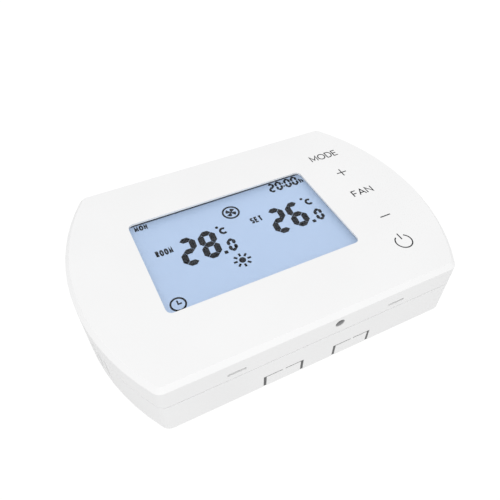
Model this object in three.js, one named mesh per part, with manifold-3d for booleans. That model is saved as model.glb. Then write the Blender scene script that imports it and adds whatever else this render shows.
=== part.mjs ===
// Wall thermostat for a fan coil: a two-part plastic housing with a liquid-crystal display,
// touch keys, a power board with terminals, and a front cover that hooks over the top edge.
// Millimetres. +Z is up as it hangs, +X is to the right seen from the room, and +Y points into
// the wall. The wall plane is Y = 0, so a place "out" from the wall is at Y = -out.

import * as THREE from "three";
import { mergeVertices } from "three/addons/utils/BufferGeometryUtils.js";
import Module from "manifold-3d";

// ---------- Driving dimensions ----------

// Housing
const BODY_WIDTH = 130;
const BODY_HEIGHT = 88;
const BODY_DEPTH = 23.3;
const COVER_DEPTH = 9.4; // depth of the front shell, from the face to the parting line
const PARTING_GAP = 0.3;
const END_BOW = 13.7; // how far each bowed end stands out past the corners of its edge
const CORNER_RADIUS = 3.5;
const FACE_BEVEL = 1.5;
const COVER_WALL = 2.0;
const BASE_WALL = 2.2;
const BASE_FLOOR = 1.8;
const FIT_GAP = 0.3; // clearance between pieces that touch
const RIM_HEIGHT = 1.5; // locating rim of the base that stands inside the cover
const RIM_THICKNESS = 1;
const END_STEPS = 16; // facets along a bowed end
const CORNER_STEPS = 4; // facets around a corner
const ROUND_STEPS = 16; // facets around a small round shape

// Display
const WINDOW_WIDTH = 69.4;
const WINDOW_HEIGHT = 42.2;
const WINDOW_X = -5.6; // centre of the window
const WINDOW_CORNER = 2;
const WINDOW_RECESS = 0.7; // how far the lens lies below the face
const WINDOW_LIP = 0.8; // front wall left around the window, where it is rebated behind
const REBATE_CORNER = 0.8;
const LENS_FLANGE = 2.2; // rim of the lens in the rebate
const LENS_FLANGE_THICKNESS = 0.7;
const PANE_GAP = 0.15; // between the lens and the panes behind it
const GLASS_THICKNESS = 0.55;
const GLASS_MARGIN = 2.1; // how far the glass reaches past the window at its top and sides
const GLASS_MARGIN_BELOW = 0.6;
const GLASS_LEDGE = 2; // lower strip of the rear glass that carries the contacts
const GUIDE_THICKNESS = 3.7;
const DISPLAY_FRAME_WALL = 1.2;
const DISPLAY_FRAME_GAP = 0.4;
const LED_SIZE = 3;
const LED_SPACING = 34;

// Display board
const BOARD_THICKNESS = 1.2;
const BOARD_EDGE_GAP = 1.6; // from the cover's side wall to the board's edge
const BOARD_TOP_Z = 36.5;
const BOARD_BOTTOM_Z = -33.5;
const BOARD_CORNER = 3;
const SCREW_SHANK = 2;
const SCREW_HEAD = 3.8;
const SCREW_HEAD_HEIGHT = 1.3;
const DRIVE_WIDTH = 0.6; // arms of the cross recess in a screw head
const DRIVE_DEPTH = 0.6;
const SCREW_LENGTH = 5;
const BOSS_RADIUS = 2.6;
const BOARD_SCREWS_X = [-47, 33];
const BOARD_SCREWS_Z = [32.5, -28];

// Touch keys, each over a contact spring: X and Z of mode, plus, fan, minus and power
const KEYS = [
  ["mode", 43, 25.4],
  ["plus", 43.8, 13.3],
  ["fan", 44.5, 0.3],
  ["minus", 44.1, -14.5],
  ["power", 42.2, -27.2],
];
const KEY_SPRING_RADIUS = 3;
const KEY_SPRING_WALL = 0.6;

// Parts behind the display board: X, Z, width, height and how tall
const MICROCONTROLLER = [22, -3, 10, 10, 1.2];
const ROOM_SENSOR = [-30, -31, 3, 2, 1];
const CELL_PLACE = [-51, -6];
const CELL_HOLDER = [12, 7, 0.9];
const CELL_RADIUS = 5;
const CELL_TALL = 2;

// Power board and its parts
const POWER_BOARD_STANDOFF = 1.2; // from the base floor to the board
const POWER_BOARD_THICKNESS = 1.6;
const POWER_BOARD_WIDTH = 104;
const POWER_BOARD_TOP_Z = 36;
const POWER_BOARD_BOTTOM_Z = -21;
const POWER_SCREWS_X = 48;
const POWER_SCREWS_Z = [30, -15];
const RELAY_COUNT = 4;
const RELAY_WIDTH = 19;
const RELAY_HEIGHT = 10;
const RELAY_TALL = 9;
const RELAY_PITCH = 21;
const RELAY_Z = 24;
const POWER_MODULE = [-28, 8, 32, 20, 8.2]; // X, Z, width, height and how tall
const FILM_CAPACITOR = [19, 10, 13, 6, 9];
const VARISTOR = [33, 10, 7.5, 4, 8.6];
const FUSE = [43, 4, 4.2, 7.6]; // X, Z, radius and how tall
const STORAGE_CAPACITORS_X = [-4, 5];
const CAPACITORS_Z = 10;
const STORAGE_CAPACITOR_RADIUS = 3.15;
const STORAGE_CAPACITOR_TALL = 8.4;

// Terminals
const POLES = 3;
const POLE_PITCH = 5.08;
const BLOCK_HEIGHT = 9;
const BLOCK_GAP = 0.3; // from the block's top to the display board
const BLOCK_X = 24; // centre of each block, to either side
const BLOCK_WALL = 0.8;
const CLAMP_HEIGHT = 4.6;
const CLAMP_WALL = 0.5;
const CLAMP_TALL = 4.2;
const CLAMP_TRAVEL = 2;
const TERMINAL_SCREW_RADIUS = 1.1;
const TERMINAL_HEAD_RADIUS = 1.6;

// Header between the boards
const HEADER_X = 0;
const HEADER_Z = -15.5;
const HEADER_PINS = 6;
const PIN_PITCH = 2.54;
const PIN_SIZE = 0.64;
const HEADER_TALL = 2.3;
const HEADER_HEIGHT = 2.5;
const PIN_REACH = 4.5;
const SOCKET_GAP = 0.5; // from the socket's top to the header
const SOCKET_WALL = 1;
const PIN_PLAY = 0.8; // room around the pins while the cover swings

// Cover hooks, latches and lock screw
const HOOK_X = 30;
const HOOK_WIDTH = 8;
const HOOK_THICKNESS = 1.4;
const HOOK_DROP = 1.6; // from the cover's top wall to the hook
const HOOK_REACH = 3.4; // how far the hook reaches behind the parting line
const HOOK_LIP = 0.8;
const HOOK_LIP_THICKNESS = 1;
const KEEPER_THICKNESS = 1.2; // rib of the base that the hook's lip lies behind
const SLOT_WIDTH = 6;
const SLOT_HEIGHT = 1.2;
const SLOT_X = 28.3;
const SLOT_BELOW_FACE = 6.7;
const SLOT_GROOVE = 1.2; // depth of the run-out groove behind the slot
const LATCH_WIDTH = 5;
const LATCH_THICKNESS = 1.3;
const LATCH_ROOT_RADIUS = 1.2;
const LATCH_NOSE = 0.8;
const LATCH_CHEEK = 1.2;
const LOCK_X = 6.65;
const LOCK_BELOW_FACE = 4.7;
const LOCK_HOLE_RADIUS = 1.65;
const LOCK_BOSS_WALL = 1.15;
const LOCK_HEAD_RADIUS = 1.45;
const LOCK_HEAD_HEIGHT = 1.5;
const LOCK_SHANK_RADIUS = 0.9;
const LOCK_SHANK_LENGTH = 5.4;
const LOCK_WASHER_THICKNESS = 0.5;
const LOCK_TRAVEL = 4;
const LOCK_HEAD_DEPTH = 3.1; // how deep the backed-out screw's head lies in its hole
const LOCK_WEB = 1.2; // wall between the hole's end and the inside
const LOCK_LUG_GAP = 0.6;
const LOCK_LUG_THICKNESS = 2.8;
const LOCK_LUG_WIDTH = 6;
const LOCK_RIB_THICKNESS = 2.2; // rib of the bottom wall that carries the lug

// Base openings
const WIRE_OPENING_WIDTH = 46;
const WIRE_OPENING_HEIGHT = 14;
const WIRE_OPENING_Z = -31.5;
const KNOCKOUT_X = 12.7; // from their middle line to each knock-out
const KNOCKOUT_ASIDE = 0.5; // of their middle line
const KNOCKOUT_WIDTH = 14.3;
const KNOCKOUT_HEIGHT = 5.9;
const KNOCKOUT_SIDE_SLOT = 1;
const KNOCKOUT_TOP_SLOT = 0.6;
const KNOCKOUT_BRIDGE = 1;
const VENT_COUNT = 13;
const VENT_PITCH = 3.6;
const VENT_WIDTH = 1.2;
const VENT_MARGIN = 4.2; // solid wall left behind the vents
const FIXING_PITCH = 60; // between the two wall-box screw slots
const FIXING_Z = -7;
const FIXING_SLOT_WIDTH = 4;
const FIXING_SLOT_LENGTH = 9;
const FIXING_ACCESS = 1.9; // room around each slot for the screw's head, through the power board

// ---------- Places worked out from the driving dimensions ----------

const HALF_W = BODY_WIDTH / 2;
const HALF_H = BODY_HEIGHT / 2;
const END_RADIUS = (HALF_H ** 2 + END_BOW ** 2) / (2 * END_BOW);
const COVER_REAR = BODY_DEPTH - COVER_DEPTH; // out from the wall
const BASE_FRONT = COVER_REAR - PARTING_GAP;
const FRONT_WALL_INSIDE = BODY_DEPTH - COVER_WALL;
const LENS_FRONT = BODY_DEPTH - WINDOW_RECESS;
const REBATE_FLOOR = BODY_DEPTH - WINDOW_LIP;
const LENS_REAR = REBATE_FLOOR - FIT_GAP - LENS_FLANGE_THICKNESS;
const FRONT_GLASS_REAR = LENS_REAR - PANE_GAP - GLASS_THICKNESS;
const REAR_GLASS_REAR = FRONT_GLASS_REAR - PANE_GAP - GLASS_THICKNESS;
const GUIDE_REAR = REAR_GLASS_REAR - FIT_GAP - GUIDE_THICKNESS;
const BOARD_FRONT = GUIDE_REAR - FIT_GAP;
const BOARD_REAR = BOARD_FRONT - BOARD_THICKNESS;
const POWER_BOARD_REAR = BASE_FLOOR + POWER_BOARD_STANDOFF;
const POWER_BOARD_FRONT = POWER_BOARD_REAR + POWER_BOARD_THICKNESS;
const ON_POWER_BOARD = POWER_BOARD_FRONT + FIT_GAP;
const BEHIND_BOARD = BOARD_REAR - FIT_GAP;

// ---------- Solids ----------

const wasm = await Module();
wasm.setup();

/** A three.js geometry as a solid that can be joined and cut. */
function solid(geometry) {
  geometry.deleteAttribute("normal");
  geometry.deleteAttribute("uv");
  const merged = mergeVertices(geometry, 1e-4);
  return new wasm.Manifold(
    new wasm.Mesh({
      numProp: 3,
      vertProperties: merged.attributes.position.array,
      triVerts: new Uint32Array(merged.index.array),
    }),
  );
}

/** A solid as a three.js geometry. */
function geometryOf(made) {
  const mesh = made.getMesh();
  const geometry = new THREE.BufferGeometry();
  geometry.setAttribute("position", new THREE.BufferAttribute(mesh.vertProperties, 3));
  geometry.setIndex(new THREE.BufferAttribute(mesh.triVerts, 1));
  geometry.computeVertexNormals();
  return geometry;
}

/** Joins several solids. */
const join = (...solids) => solids.reduce((whole, next) => whole.add(next));

/** Cuts several solids from one. */
const cut = (whole, ...tools) => tools.reduce((rest, tool) => rest.subtract(tool), whole);

/** An outline seen from the room, made solid from one distance out of the wall to another. */
function slab(shape, from, to, bevel = 0) {
  const geometry = new THREE.ExtrudeGeometry(shape, {
    depth: to - from - bevel,
    bevelEnabled: bevel > 0,
    bevelThickness: bevel,
    bevelSize: bevel,
    bevelSegments: 1,
  });
  return solid(geometry.rotateX(Math.PI / 2).translate(0, -from, 0));
}

/** A box from its ranges of X, of distance out from the wall, and of Z. */
function block([x0, x1], [from, to], [z0, z1]) {
  const geometry = new THREE.BoxGeometry(x1 - x0, to - from, z1 - z0);
  return solid(geometry.translate((x0 + x1) / 2, -(from + to) / 2, (z0 + z1) / 2));
}

/** A box centred on X and Z. */
function plate(x, z, width, height, from, to) {
  return block([x - width / 2, x + width / 2], [from, to], [z - height / 2, z + height / 2]);
}

/** A round bar that stands out from the wall. */
function post(x, z, radius, from, to, steps = ROUND_STEPS) {
  const geometry = new THREE.CylinderGeometry(radius, radius, to - from, steps);
  return solid(geometry.translate(x, -(from + to) / 2, z));
}

/** A round bar that runs up. */
function upright(x, out, radius, z0, z1, steps = ROUND_STEPS) {
  const geometry = new THREE.CylinderGeometry(radius, radius, z1 - z0, steps);
  return solid(geometry.rotateX(Math.PI / 2).translate(x, -out, (z0 + z1) / 2));
}

/** A round bar that runs across, along X. */
function crossbar(x, out, z, radius, length) {
  const geometry = new THREE.CylinderGeometry(radius, radius, length, ROUND_STEPS);
  return solid(geometry.rotateZ(Math.PI / 2).translate(x, -out, z));
}

/** A profile of [out, z] points made solid across a width along X. */
function bracket(points, x, width) {
  const shape = new THREE.Shape(points.map(([out, z]) => new THREE.Vector2(-out, z)));
  const geometry = new THREE.ExtrudeGeometry(shape, { depth: width, bevelEnabled: false });
  const turn = new THREE.Matrix4().makeBasis(
    new THREE.Vector3(0, 1, 0),
    new THREE.Vector3(0, 0, 1),
    new THREE.Vector3(1, 0, 0),
  );
  return solid(geometry.applyMatrix4(turn).translate(x - width / 2, 0, 0));
}

/** Points along an arc, both ends included. */
function arc(x, z, radius, from, to, steps) {
  return Array.from({ length: steps + 1 }, (_, i) => {
    const angle = from + ((to - from) * i) / steps;
    return new THREE.Vector2(x + radius * Math.cos(angle), z + radius * Math.sin(angle));
  });
}

/** A closed outline from stretches of points, where one stretch may end as the next begins. */
function outline(...stretches) {
  const points = stretches.flat();
  const next = (i) => points[(i + 1) % points.length];
  return new THREE.Shape(points.filter((point, i) => point.distanceTo(next(i)) > 1e-3));
}

/** The housing's outline, inset by a distance: straight top and bottom, bowed ends. */
function housingOutline(inset) {
  const radius = END_RADIUS - inset;
  const corner = Math.max(CORNER_RADIUS - inset, 0.8);
  const top = HALF_H - inset;
  const centre = HALF_W - END_RADIUS;
  const cornerX = centre + Math.sqrt((radius - corner) ** 2 - (top - corner) ** 2);
  const turn = Math.atan2(top - corner, cornerX - centre);
  const cornerZ = top - corner;
  return outline(
    arc(centre, 0, radius, -turn, turn, END_STEPS),
    arc(cornerX, cornerZ, corner, turn, Math.PI / 2, CORNER_STEPS),
    arc(-cornerX, cornerZ, corner, Math.PI / 2, Math.PI - turn, CORNER_STEPS),
    arc(-centre, 0, radius, Math.PI - turn, Math.PI + turn, END_STEPS),
    arc(-cornerX, -cornerZ, corner, Math.PI + turn, Math.PI * 1.5, CORNER_STEPS),
    arc(cornerX, -cornerZ, corner, Math.PI * 1.5, Math.PI * 2 - turn, CORNER_STEPS),
  );
}

/** A rectangle with round corners. */
function roundedRectangle(x, z, width, height, radius) {
  const right = x + width / 2 - radius;
  const left = x - width / 2 + radius;
  const top = z + height / 2 - radius;
  const bottom = z - height / 2 + radius;
  return outline(
    arc(right, top, radius, 0, Math.PI / 2, CORNER_STEPS),
    arc(left, top, radius, Math.PI / 2, Math.PI, CORNER_STEPS),
    arc(left, bottom, radius, Math.PI, Math.PI * 1.5, CORNER_STEPS),
    arc(right, bottom, radius, Math.PI * 1.5, Math.PI * 2, CORNER_STEPS),
  );
}

/** A slot with round ends that runs along X. */
const slotShape = (x, z, length, width) => roundedRectangle(x, z, length, width, width / 2);

// ---------- Finishes ----------

const finish = (color, roughness, metalness = 0) =>
  new THREE.MeshStandardMaterial({ color, roughness, metalness });

const FINISHES = {
  housing: finish(0xf4f4f2, 0.45),
  lens: finish(0xb9cce6, 0.1),
  glass: finish(0xc2d2e6, 0.08),
  guide: finish(0xe6eef8, 0.2),
  board: finish(0x1f6b3a, 0.45),
  chip: finish(0x1a1a1c, 0.4),
  relay: finish(0x1c4f8c, 0.35),
  capacitor: finish(0x20242c, 0.3),
  film: finish(0xd8b23c, 0.4),
  varistor: finish(0x2c5c9c, 0.4),
  terminal: finish(0x2f7a46, 0.4),
  screw: finish(0xb8bcc2, 0.3, 1),
  spring: finish(0xc9a24a, 0.3, 1),
  rubber: finish(0x6e7074, 0.8),
  steel: finish(0xc9ccd0, 0.25, 1),
};

const thermostat = new THREE.Group();

/** Adds one named piece to the thermostat. */
function piece(name, made, surface) {
  const mesh = new THREE.Mesh(geometryOf(made), surface);
  mesh.name = name;
  thermostat.add(mesh);
}

// ---------- Front cover ----------

const lockOut = BODY_DEPTH - LOCK_BELOW_FACE;
const slotOut = BODY_DEPTH - SLOT_BELOW_FACE;
const lockHeadZ = -HALF_H + LOCK_HEAD_DEPTH;
const lockWasherZ = lockHeadZ + LOCK_HEAD_HEIGHT + FIT_GAP / 2;
const lockHoleTop = lockWasherZ + LOCK_WASHER_THICKNESS + LOCK_TRAVEL + FIT_GAP / 2;
const lockBossTop = lockHoleTop + LOCK_WEB;
const lockLugBottom = lockBossTop + LOCK_LUG_GAP;

/** The hook on the cover's top edge, with a lip that lies behind the base's keeper rib. */
function coverHook(x) {
  const wall = HALF_H - COVER_WALL;
  const upper = wall - HOOK_DROP;
  const lower = upper - HOOK_THICKNESS;
  const tip = COVER_REAR - HOOK_REACH;
  const root = COVER_REAR + 5;
  return bracket(
    [
      [tip, lower],
      [root + HOOK_THICKNESS, lower],
      [root + HOOK_THICKNESS, wall + 0.5],
      [root, wall + 0.5],
      [root, upper],
      [tip + HOOK_LIP_THICKNESS, upper],
      [tip + HOOK_LIP_THICKNESS, upper + HOOK_LIP],
      [tip, upper + HOOK_LIP],
    ],
    x,
    HOOK_WIDTH,
  );
}

/** The slot in the bottom wall for the latch's nose, with its run-out groove. */
function latchSlot(x) {
  const half = SLOT_WIDTH / 2;
  const through = block(
    [x - half, x + half],
    [slotOut - SLOT_HEIGHT / 2, slotOut + SLOT_HEIGHT / 2],
    [-HALF_H - 1, -HALF_H + COVER_WALL + 1],
  );
  const groove = block(
    [x - half, x + half],
    [COVER_REAR - 1, slotOut + SLOT_HEIGHT / 2],
    [-HALF_H + COVER_WALL - SLOT_GROOVE, -HALF_H + COVER_WALL + 1],
  );
  return join(through, groove);
}

/** The upright hole for the lock screw. */
function lockBoss() {
  const radius = LOCK_HOLE_RADIUS + LOCK_BOSS_WALL;
  return upright(LOCK_X, lockOut, radius, -HALF_H + COVER_WALL / 2, lockBossTop);
}

function lockHole() {
  const wide = upright(LOCK_X, lockOut, LOCK_HOLE_RADIUS, -HALF_H - 1, lockHoleTop);
  const narrow = upright(LOCK_X, lockOut, LOCK_SHANK_RADIUS + 0.2, lockHoleTop - 1, lockBossTop + 1);
  return join(wide, narrow);
}

const flangeWidth = WINDOW_WIDTH + 2 * LENS_FLANGE;
const flangeHeight = WINDOW_HEIGHT + 2 * LENS_FLANGE;

function frontCover() {
  const shell = slab(housingOutline(FACE_BEVEL), COVER_REAR, BODY_DEPTH, FACE_BEVEL);
  const behind = plate(0, 0, BODY_WIDTH + 10, BODY_HEIGHT + 10, COVER_REAR - 5, COVER_REAR);
  const inside = slab(housingOutline(COVER_WALL), COVER_REAR - 1, FRONT_WALL_INSIDE);
  const window = slab(
    roundedRectangle(WINDOW_X, 0, WINDOW_WIDTH, WINDOW_HEIGHT, WINDOW_CORNER),
    FRONT_WALL_INSIDE - 1,
    BODY_DEPTH + 1,
  );
  const rebate = slab(
    roundedRectangle(
      WINDOW_X,
      0,
      flangeWidth + 2 * FIT_GAP,
      flangeHeight + 2 * FIT_GAP,
      REBATE_CORNER,
    ),
    FRONT_WALL_INSIDE - 1,
    REBATE_FLOOR,
  );
  const cover = cut(shell, behind, inside, window, rebate);
  const bossTip = BOARD_FRONT + FIT_GAP;
  const bosses = BOARD_SCREWS_X.flatMap((x) =>
    BOARD_SCREWS_Z.map((z) => post(x, z, BOSS_RADIUS, bossTip, FRONT_WALL_INSIDE + 0.5)),
  );
  const pilots = BOARD_SCREWS_X.flatMap((x) =>
    BOARD_SCREWS_Z.map((z) => post(x, z, SCREW_SHANK / 2 + 0.1, bossTip - 1, FRONT_WALL_INSIDE)),
  );
  const fitted = join(cover, ...bosses, lockBoss(), coverHook(-HOOK_X), coverHook(HOOK_X));
  return cut(fitted, ...pilots, lockHole(), latchSlot(-SLOT_X), latchSlot(SLOT_X));
}

// ---------- Display stack ----------

const glassLeft = WINDOW_X - WINDOW_WIDTH / 2 - GLASS_MARGIN;
const glassRight = WINDOW_X + WINDOW_WIDTH / 2 + GLASS_MARGIN;
const glassTop = WINDOW_HEIGHT / 2 + GLASS_MARGIN;
const frontGlassBottom = -WINDOW_HEIGHT / 2 - GLASS_MARGIN_BELOW;
const rearGlassBottom = frontGlassBottom - GLASS_LEDGE;
const guideBottom = frontGlassBottom + LED_SIZE / 2;

function displayLens() {
  const gap = 2 * 0.15;
  const raised = slab(
    roundedRectangle(WINDOW_X, 0, WINDOW_WIDTH - gap, WINDOW_HEIGHT - gap, WINDOW_CORNER),
    LENS_REAR,
    LENS_FRONT,
  );
  const flange = slab(
    roundedRectangle(WINDOW_X, 0, flangeWidth, flangeHeight, WINDOW_CORNER),
    LENS_REAR,
    REBATE_FLOOR - FIT_GAP,
  );
  return join(raised, flange);
}

/** The moulded frame around the glass and the light guide. */
function displayFrame() {
  const side = DISPLAY_FRAME_GAP + DISPLAY_FRAME_WALL;
  const width = glassRight - glassLeft + 2 * side;
  const height = glassTop - rearGlassBottom + 2 * side;
  const z = (glassTop + rearGlassBottom) / 2;
  const outer = slab(
    roundedRectangle(WINDOW_X, z, width, height, WINDOW_CORNER),
    BOARD_FRONT + FIT_GAP,
    FRONT_WALL_INSIDE - FIT_GAP,
  );
  const inner = block(
    [glassLeft - DISPLAY_FRAME_GAP, glassRight + DISPLAY_FRAME_GAP],
    [BOARD_FRONT - 1, FRONT_WALL_INSIDE + 1],
    [rearGlassBottom - DISPLAY_FRAME_GAP, glassTop + DISPLAY_FRAME_GAP],
  );
  return cut(outer, inner);
}

const frontGlass = () =>
  block(
    [glassLeft, glassRight],
    [FRONT_GLASS_REAR, FRONT_GLASS_REAR + GLASS_THICKNESS],
    [frontGlassBottom, glassTop],
  );

const rearGlass = () =>
  block(
    [glassLeft, glassRight],
    [REAR_GLASS_REAR, REAR_GLASS_REAR + GLASS_THICKNESS],
    [rearGlassBottom, glassTop],
  );

const lightGuide = () =>
  block(
    [glassLeft, glassRight],
    [GUIDE_REAR, GUIDE_REAR + GUIDE_THICKNESS],
    [guideBottom, glassTop],
  );

/** The rubber strip that joins the glass's contact ledge to the board. */
const contactStrip = () =>
  block(
    [glassLeft + 3, glassRight - 3],
    [BOARD_FRONT + FIT_GAP, REAR_GLASS_REAR - FIT_GAP],
    [rearGlassBottom + 0.2, rearGlassBottom + 1.4],
  );

function backlightLamp(side) {
  const z = guideBottom - FIT_GAP - 0.8;
  const x = WINDOW_X + (side * LED_SPACING) / 2;
  return plate(x, z, LED_SIZE, 1.4, BOARD_FRONT + FIT_GAP, GUIDE_REAR + 1);
}

// ---------- Display board ----------

const boardScrewPlaces = BOARD_SCREWS_X.flatMap((x) => BOARD_SCREWS_Z.map((z) => [x, z]));

function displayBoard() {
  const room = slab(housingOutline(COVER_WALL + BOARD_EDGE_GAP), BOARD_REAR, BOARD_FRONT);
  const rows = plate(
    0,
    (BOARD_TOP_Z + BOARD_BOTTOM_Z) / 2,
    BODY_WIDTH,
    BOARD_TOP_Z - BOARD_BOTTOM_Z,
    BOARD_REAR - 1,
    BOARD_FRONT + 1,
  );
  const holes = boardScrewPlaces.map(([x, z]) =>
    post(x, z, SCREW_SHANK / 2 + 0.2, BOARD_REAR - 1, BOARD_FRONT + 1),
  );
  const notchHalf = LOCK_LUG_WIDTH / 2 + 1.2;
  const notch = block(
    [LOCK_X - notchHalf, LOCK_X + notchHalf],
    [BOARD_REAR - 1, BOARD_FRONT + 1],
    [BOARD_BOTTOM_Z - 1, lockLugBottom + LOCK_LUG_THICKNESS + 1.6],
  );
  return cut(room.intersect(rows), notch, ...holes);
}

/** A pan-head screw that goes in from behind, its head at a distance out from the wall. */
function panScrew(x, z, seat, length, outward) {
  const tip = seat + outward * length;
  const shank = post(x, z, SCREW_SHANK / 2, Math.min(seat, tip), Math.max(seat, tip));
  const end = seat - outward * SCREW_HEAD_HEIGHT;
  const head = post(x, z, SCREW_HEAD / 2, Math.min(seat, end), Math.max(seat, end));
  const floor = end + outward * DRIVE_DEPTH;
  const [from, to] = [Math.min(end, floor) - 0.01, Math.max(end, floor)];
  const drive = SCREW_HEAD * 0.6;
  const across = plate(x, z, drive, DRIVE_WIDTH, from, to);
  const upAndDown = plate(x, z, DRIVE_WIDTH, drive, from, to);
  return cut(join(shank, head), across, upAndDown);
}

/** The contact spring between the board and the front wall under a touch key. */
function keySpring(x, z) {
  const from = BOARD_FRONT + FIT_GAP;
  const to = FRONT_WALL_INSIDE - FIT_GAP;
  const outer = post(x, z, KEY_SPRING_RADIUS, from, to);
  return cut(outer, post(x, z, KEY_SPRING_RADIUS - KEY_SPRING_WALL, from - 1, to + 1));
}

/** A board part that sits on the back of the display board. */
const behindBoard = (x, z, width, height, tall) =>
  plate(x, z, width, height, BEHIND_BOARD - tall, BEHIND_BOARD);

/** The coin cell that lies on its holder. */
function clockCell() {
  const seat = BEHIND_BOARD - CELL_HOLDER[2] - FIT_GAP;
  return post(...CELL_PLACE, CELL_RADIUS, seat - CELL_TALL, seat, 24);
}

function pinHeader() {
  const length = HEADER_PINS * PIN_PITCH;
  const tip = BEHIND_BOARD - HEADER_TALL - PIN_REACH;
  const pins = [];
  for (let i = 0; i < HEADER_PINS; i += 1) {
    const x = HEADER_X + (i - (HEADER_PINS - 1) / 2) * PIN_PITCH;
    pins.push(plate(x, HEADER_Z, PIN_SIZE, PIN_SIZE, tip, BEHIND_BOARD - 0.5));
  }
  return join(behindBoard(HEADER_X, HEADER_Z, length, HEADER_HEIGHT, HEADER_TALL), ...pins);
}

// ---------- Rear base ----------

/** A knock-out in the bottom wall: slots on three sides with a bridge in the middle. */
function knockout(x) {
  const half = KNOCKOUT_WIDTH / 2;
  const z = [-HALF_H - 1, -HALF_H + BASE_WALL];
  const side = (edge) => block([edge, edge + KNOCKOUT_SIDE_SLOT], [-1, KNOCKOUT_HEIGHT], z);
  const top = (x0, x1) => block([x0, x1], [KNOCKOUT_HEIGHT - KNOCKOUT_TOP_SLOT, KNOCKOUT_HEIGHT], z);
  return join(
    side(x - half),
    side(x + half - KNOCKOUT_SIDE_SLOT),
    top(x - half, x - KNOCKOUT_BRIDGE / 2),
    top(x + KNOCKOUT_BRIDGE / 2, x + half),
  );
}

/** A row of upright vents through one bowed end. */
function endVents(side) {
  const vents = [];
  for (let i = 0; i < VENT_COUNT; i += 1) {
    const z = (i - (VENT_COUNT - 1) / 2) * VENT_PITCH;
    const inner = HALF_W - END_BOW * (z / HALF_H) ** 2 - BASE_WALL - 2.5;
    const x = side * (inner + 5);
    vents.push(plate(x, z, 10, VENT_WIDTH, VENT_MARGIN, BASE_FRONT + 1));
  }
  return vents;
}

/** The rim that locates the cover, left out where the hooks and the latches pass. */
function locatingRim() {
  const outside = COVER_WALL + FIT_GAP;
  const root = BASE_FRONT - 1.5;
  const tip = BASE_FRONT + RIM_HEIGHT;
  const rim = slab(housingOutline(outside), root, tip);
  const foot = slab(housingOutline(BASE_WALL - 0.2), root, BASE_FRONT);
  const hollow = slab(housingOutline(outside + RIM_THICKNESS), root - 1, tip + 1);
  const gaps = [-1, 1].flatMap((side) => [
    plate(side * HOOK_X, HALF_H, HOOK_WIDTH + 2, 12, root - 1, tip + 1),
    plate(side * SLOT_X, -HALF_H, SLOT_WIDTH + 3, 12, root - 1, tip + 1),
  ]);
  return cut(join(rim, foot), hollow, ...gaps);
}

/** The rib inside the base's top wall that keeps a cover hook. */
function hookKeeper(x) {
  const lower = HALF_H - COVER_WALL - HOOK_DROP + FIT_GAP;
  return block(
    [x - HOOK_WIDTH / 2, x + HOOK_WIDTH / 2],
    [BASE_FRONT - KEEPER_THICKNESS, BASE_FRONT],
    [lower, HALF_H - BASE_WALL / 2],
  );
}

const latchRootOut = BASE_FLOOR + FIT_GAP + LATCH_ROOT_RADIUS;
const latchZ = -HALF_H + BASE_WALL + FIT_GAP + LATCH_THICKNESS / 2;
const latchRootZ = -HALF_H + BASE_WALL + FIT_GAP + LATCH_ROOT_RADIUS;

/** Two cheeks that guide a latch. */
function latchCheeks(x) {
  const inner = LATCH_WIDTH / 2 + FIT_GAP;
  const cheek = (x0) =>
    block(
      [x0, x0 + LATCH_CHEEK],
      [BASE_FLOOR / 2, BASE_FRONT - 3],
      [-HALF_H + BASE_WALL / 2, -HALF_H + BASE_WALL + 4],
    );
  return join(cheek(x - inner - LATCH_CHEEK), cheek(x + inner));
}

/** The lug that the lock screw goes into, on a rib of the bottom wall. */
function lockLug() {
  const top = lockLugBottom + LOCK_LUG_THICKNESS;
  const ribRear = BASE_FRONT - LOCK_RIB_THICKNESS;
  const wallMiddle = -HALF_H + BASE_WALL / 2;
  const tip = FRONT_WALL_INSIDE - FIT_GAP;
  const arm = bracket(
    [
      [ribRear, wallMiddle],
      [BASE_FRONT, wallMiddle],
      [BASE_FRONT, lockLugBottom],
      [tip, lockLugBottom],
      [tip, top],
      [ribRear, top],
    ],
    LOCK_X,
    LOCK_LUG_WIDTH,
  );
  return cut(arm, upright(LOCK_X, lockOut, LOCK_SHANK_RADIUS + 0.1, lockLugBottom - 1, top + 1));
}

const powerScrewPlaces = [-POWER_SCREWS_X, POWER_SCREWS_X].flatMap((x) =>
  POWER_SCREWS_Z.map((z) => [x, z]),
);

function rearBase() {
  const shell = slab(housingOutline(0), 0, BASE_FRONT);
  const inside = slab(housingOutline(BASE_WALL), BASE_FLOOR, BASE_FRONT + 1);
  const wire = slab(
    roundedRectangle(0, WIRE_OPENING_Z, WIRE_OPENING_WIDTH, WIRE_OPENING_HEIGHT, 2),
    -1,
    BASE_FLOOR + 1,
  );
  const fixings = [-1, 1].map((side) =>
    slab(
      slotShape((side * FIXING_PITCH) / 2, FIXING_Z, FIXING_SLOT_LENGTH, FIXING_SLOT_WIDTH),
      -1,
      BASE_FLOOR + 1,
    ),
  );
  const tray = cut(shell, inside, wire, ...fixings);
  const bosses = powerScrewPlaces.map(([x, z]) =>
    post(x, z, BOSS_RADIUS, BASE_FLOOR - 0.5, POWER_BOARD_REAR - FIT_GAP),
  );
  const pilots = powerScrewPlaces.map(([x, z]) =>
    post(x, z, SCREW_SHANK / 2 + 0.1, 0.6, POWER_BOARD_REAR),
  );
  const fitted = join(
    tray,
    ...bosses,
    hookKeeper(-HOOK_X),
    hookKeeper(HOOK_X),
    latchCheeks(-SLOT_X),
    latchCheeks(SLOT_X),
    lockLug(),
  );
  const opened = cut(
    fitted,
    ...pilots,
    knockout(KNOCKOUT_ASIDE - KNOCKOUT_X),
    knockout(KNOCKOUT_ASIDE + KNOCKOUT_X),
    ...endVents(-1),
    ...endVents(1),
  );
  return join(opened, locatingRim());
}

// ---------- Latches and lock screw ----------

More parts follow.
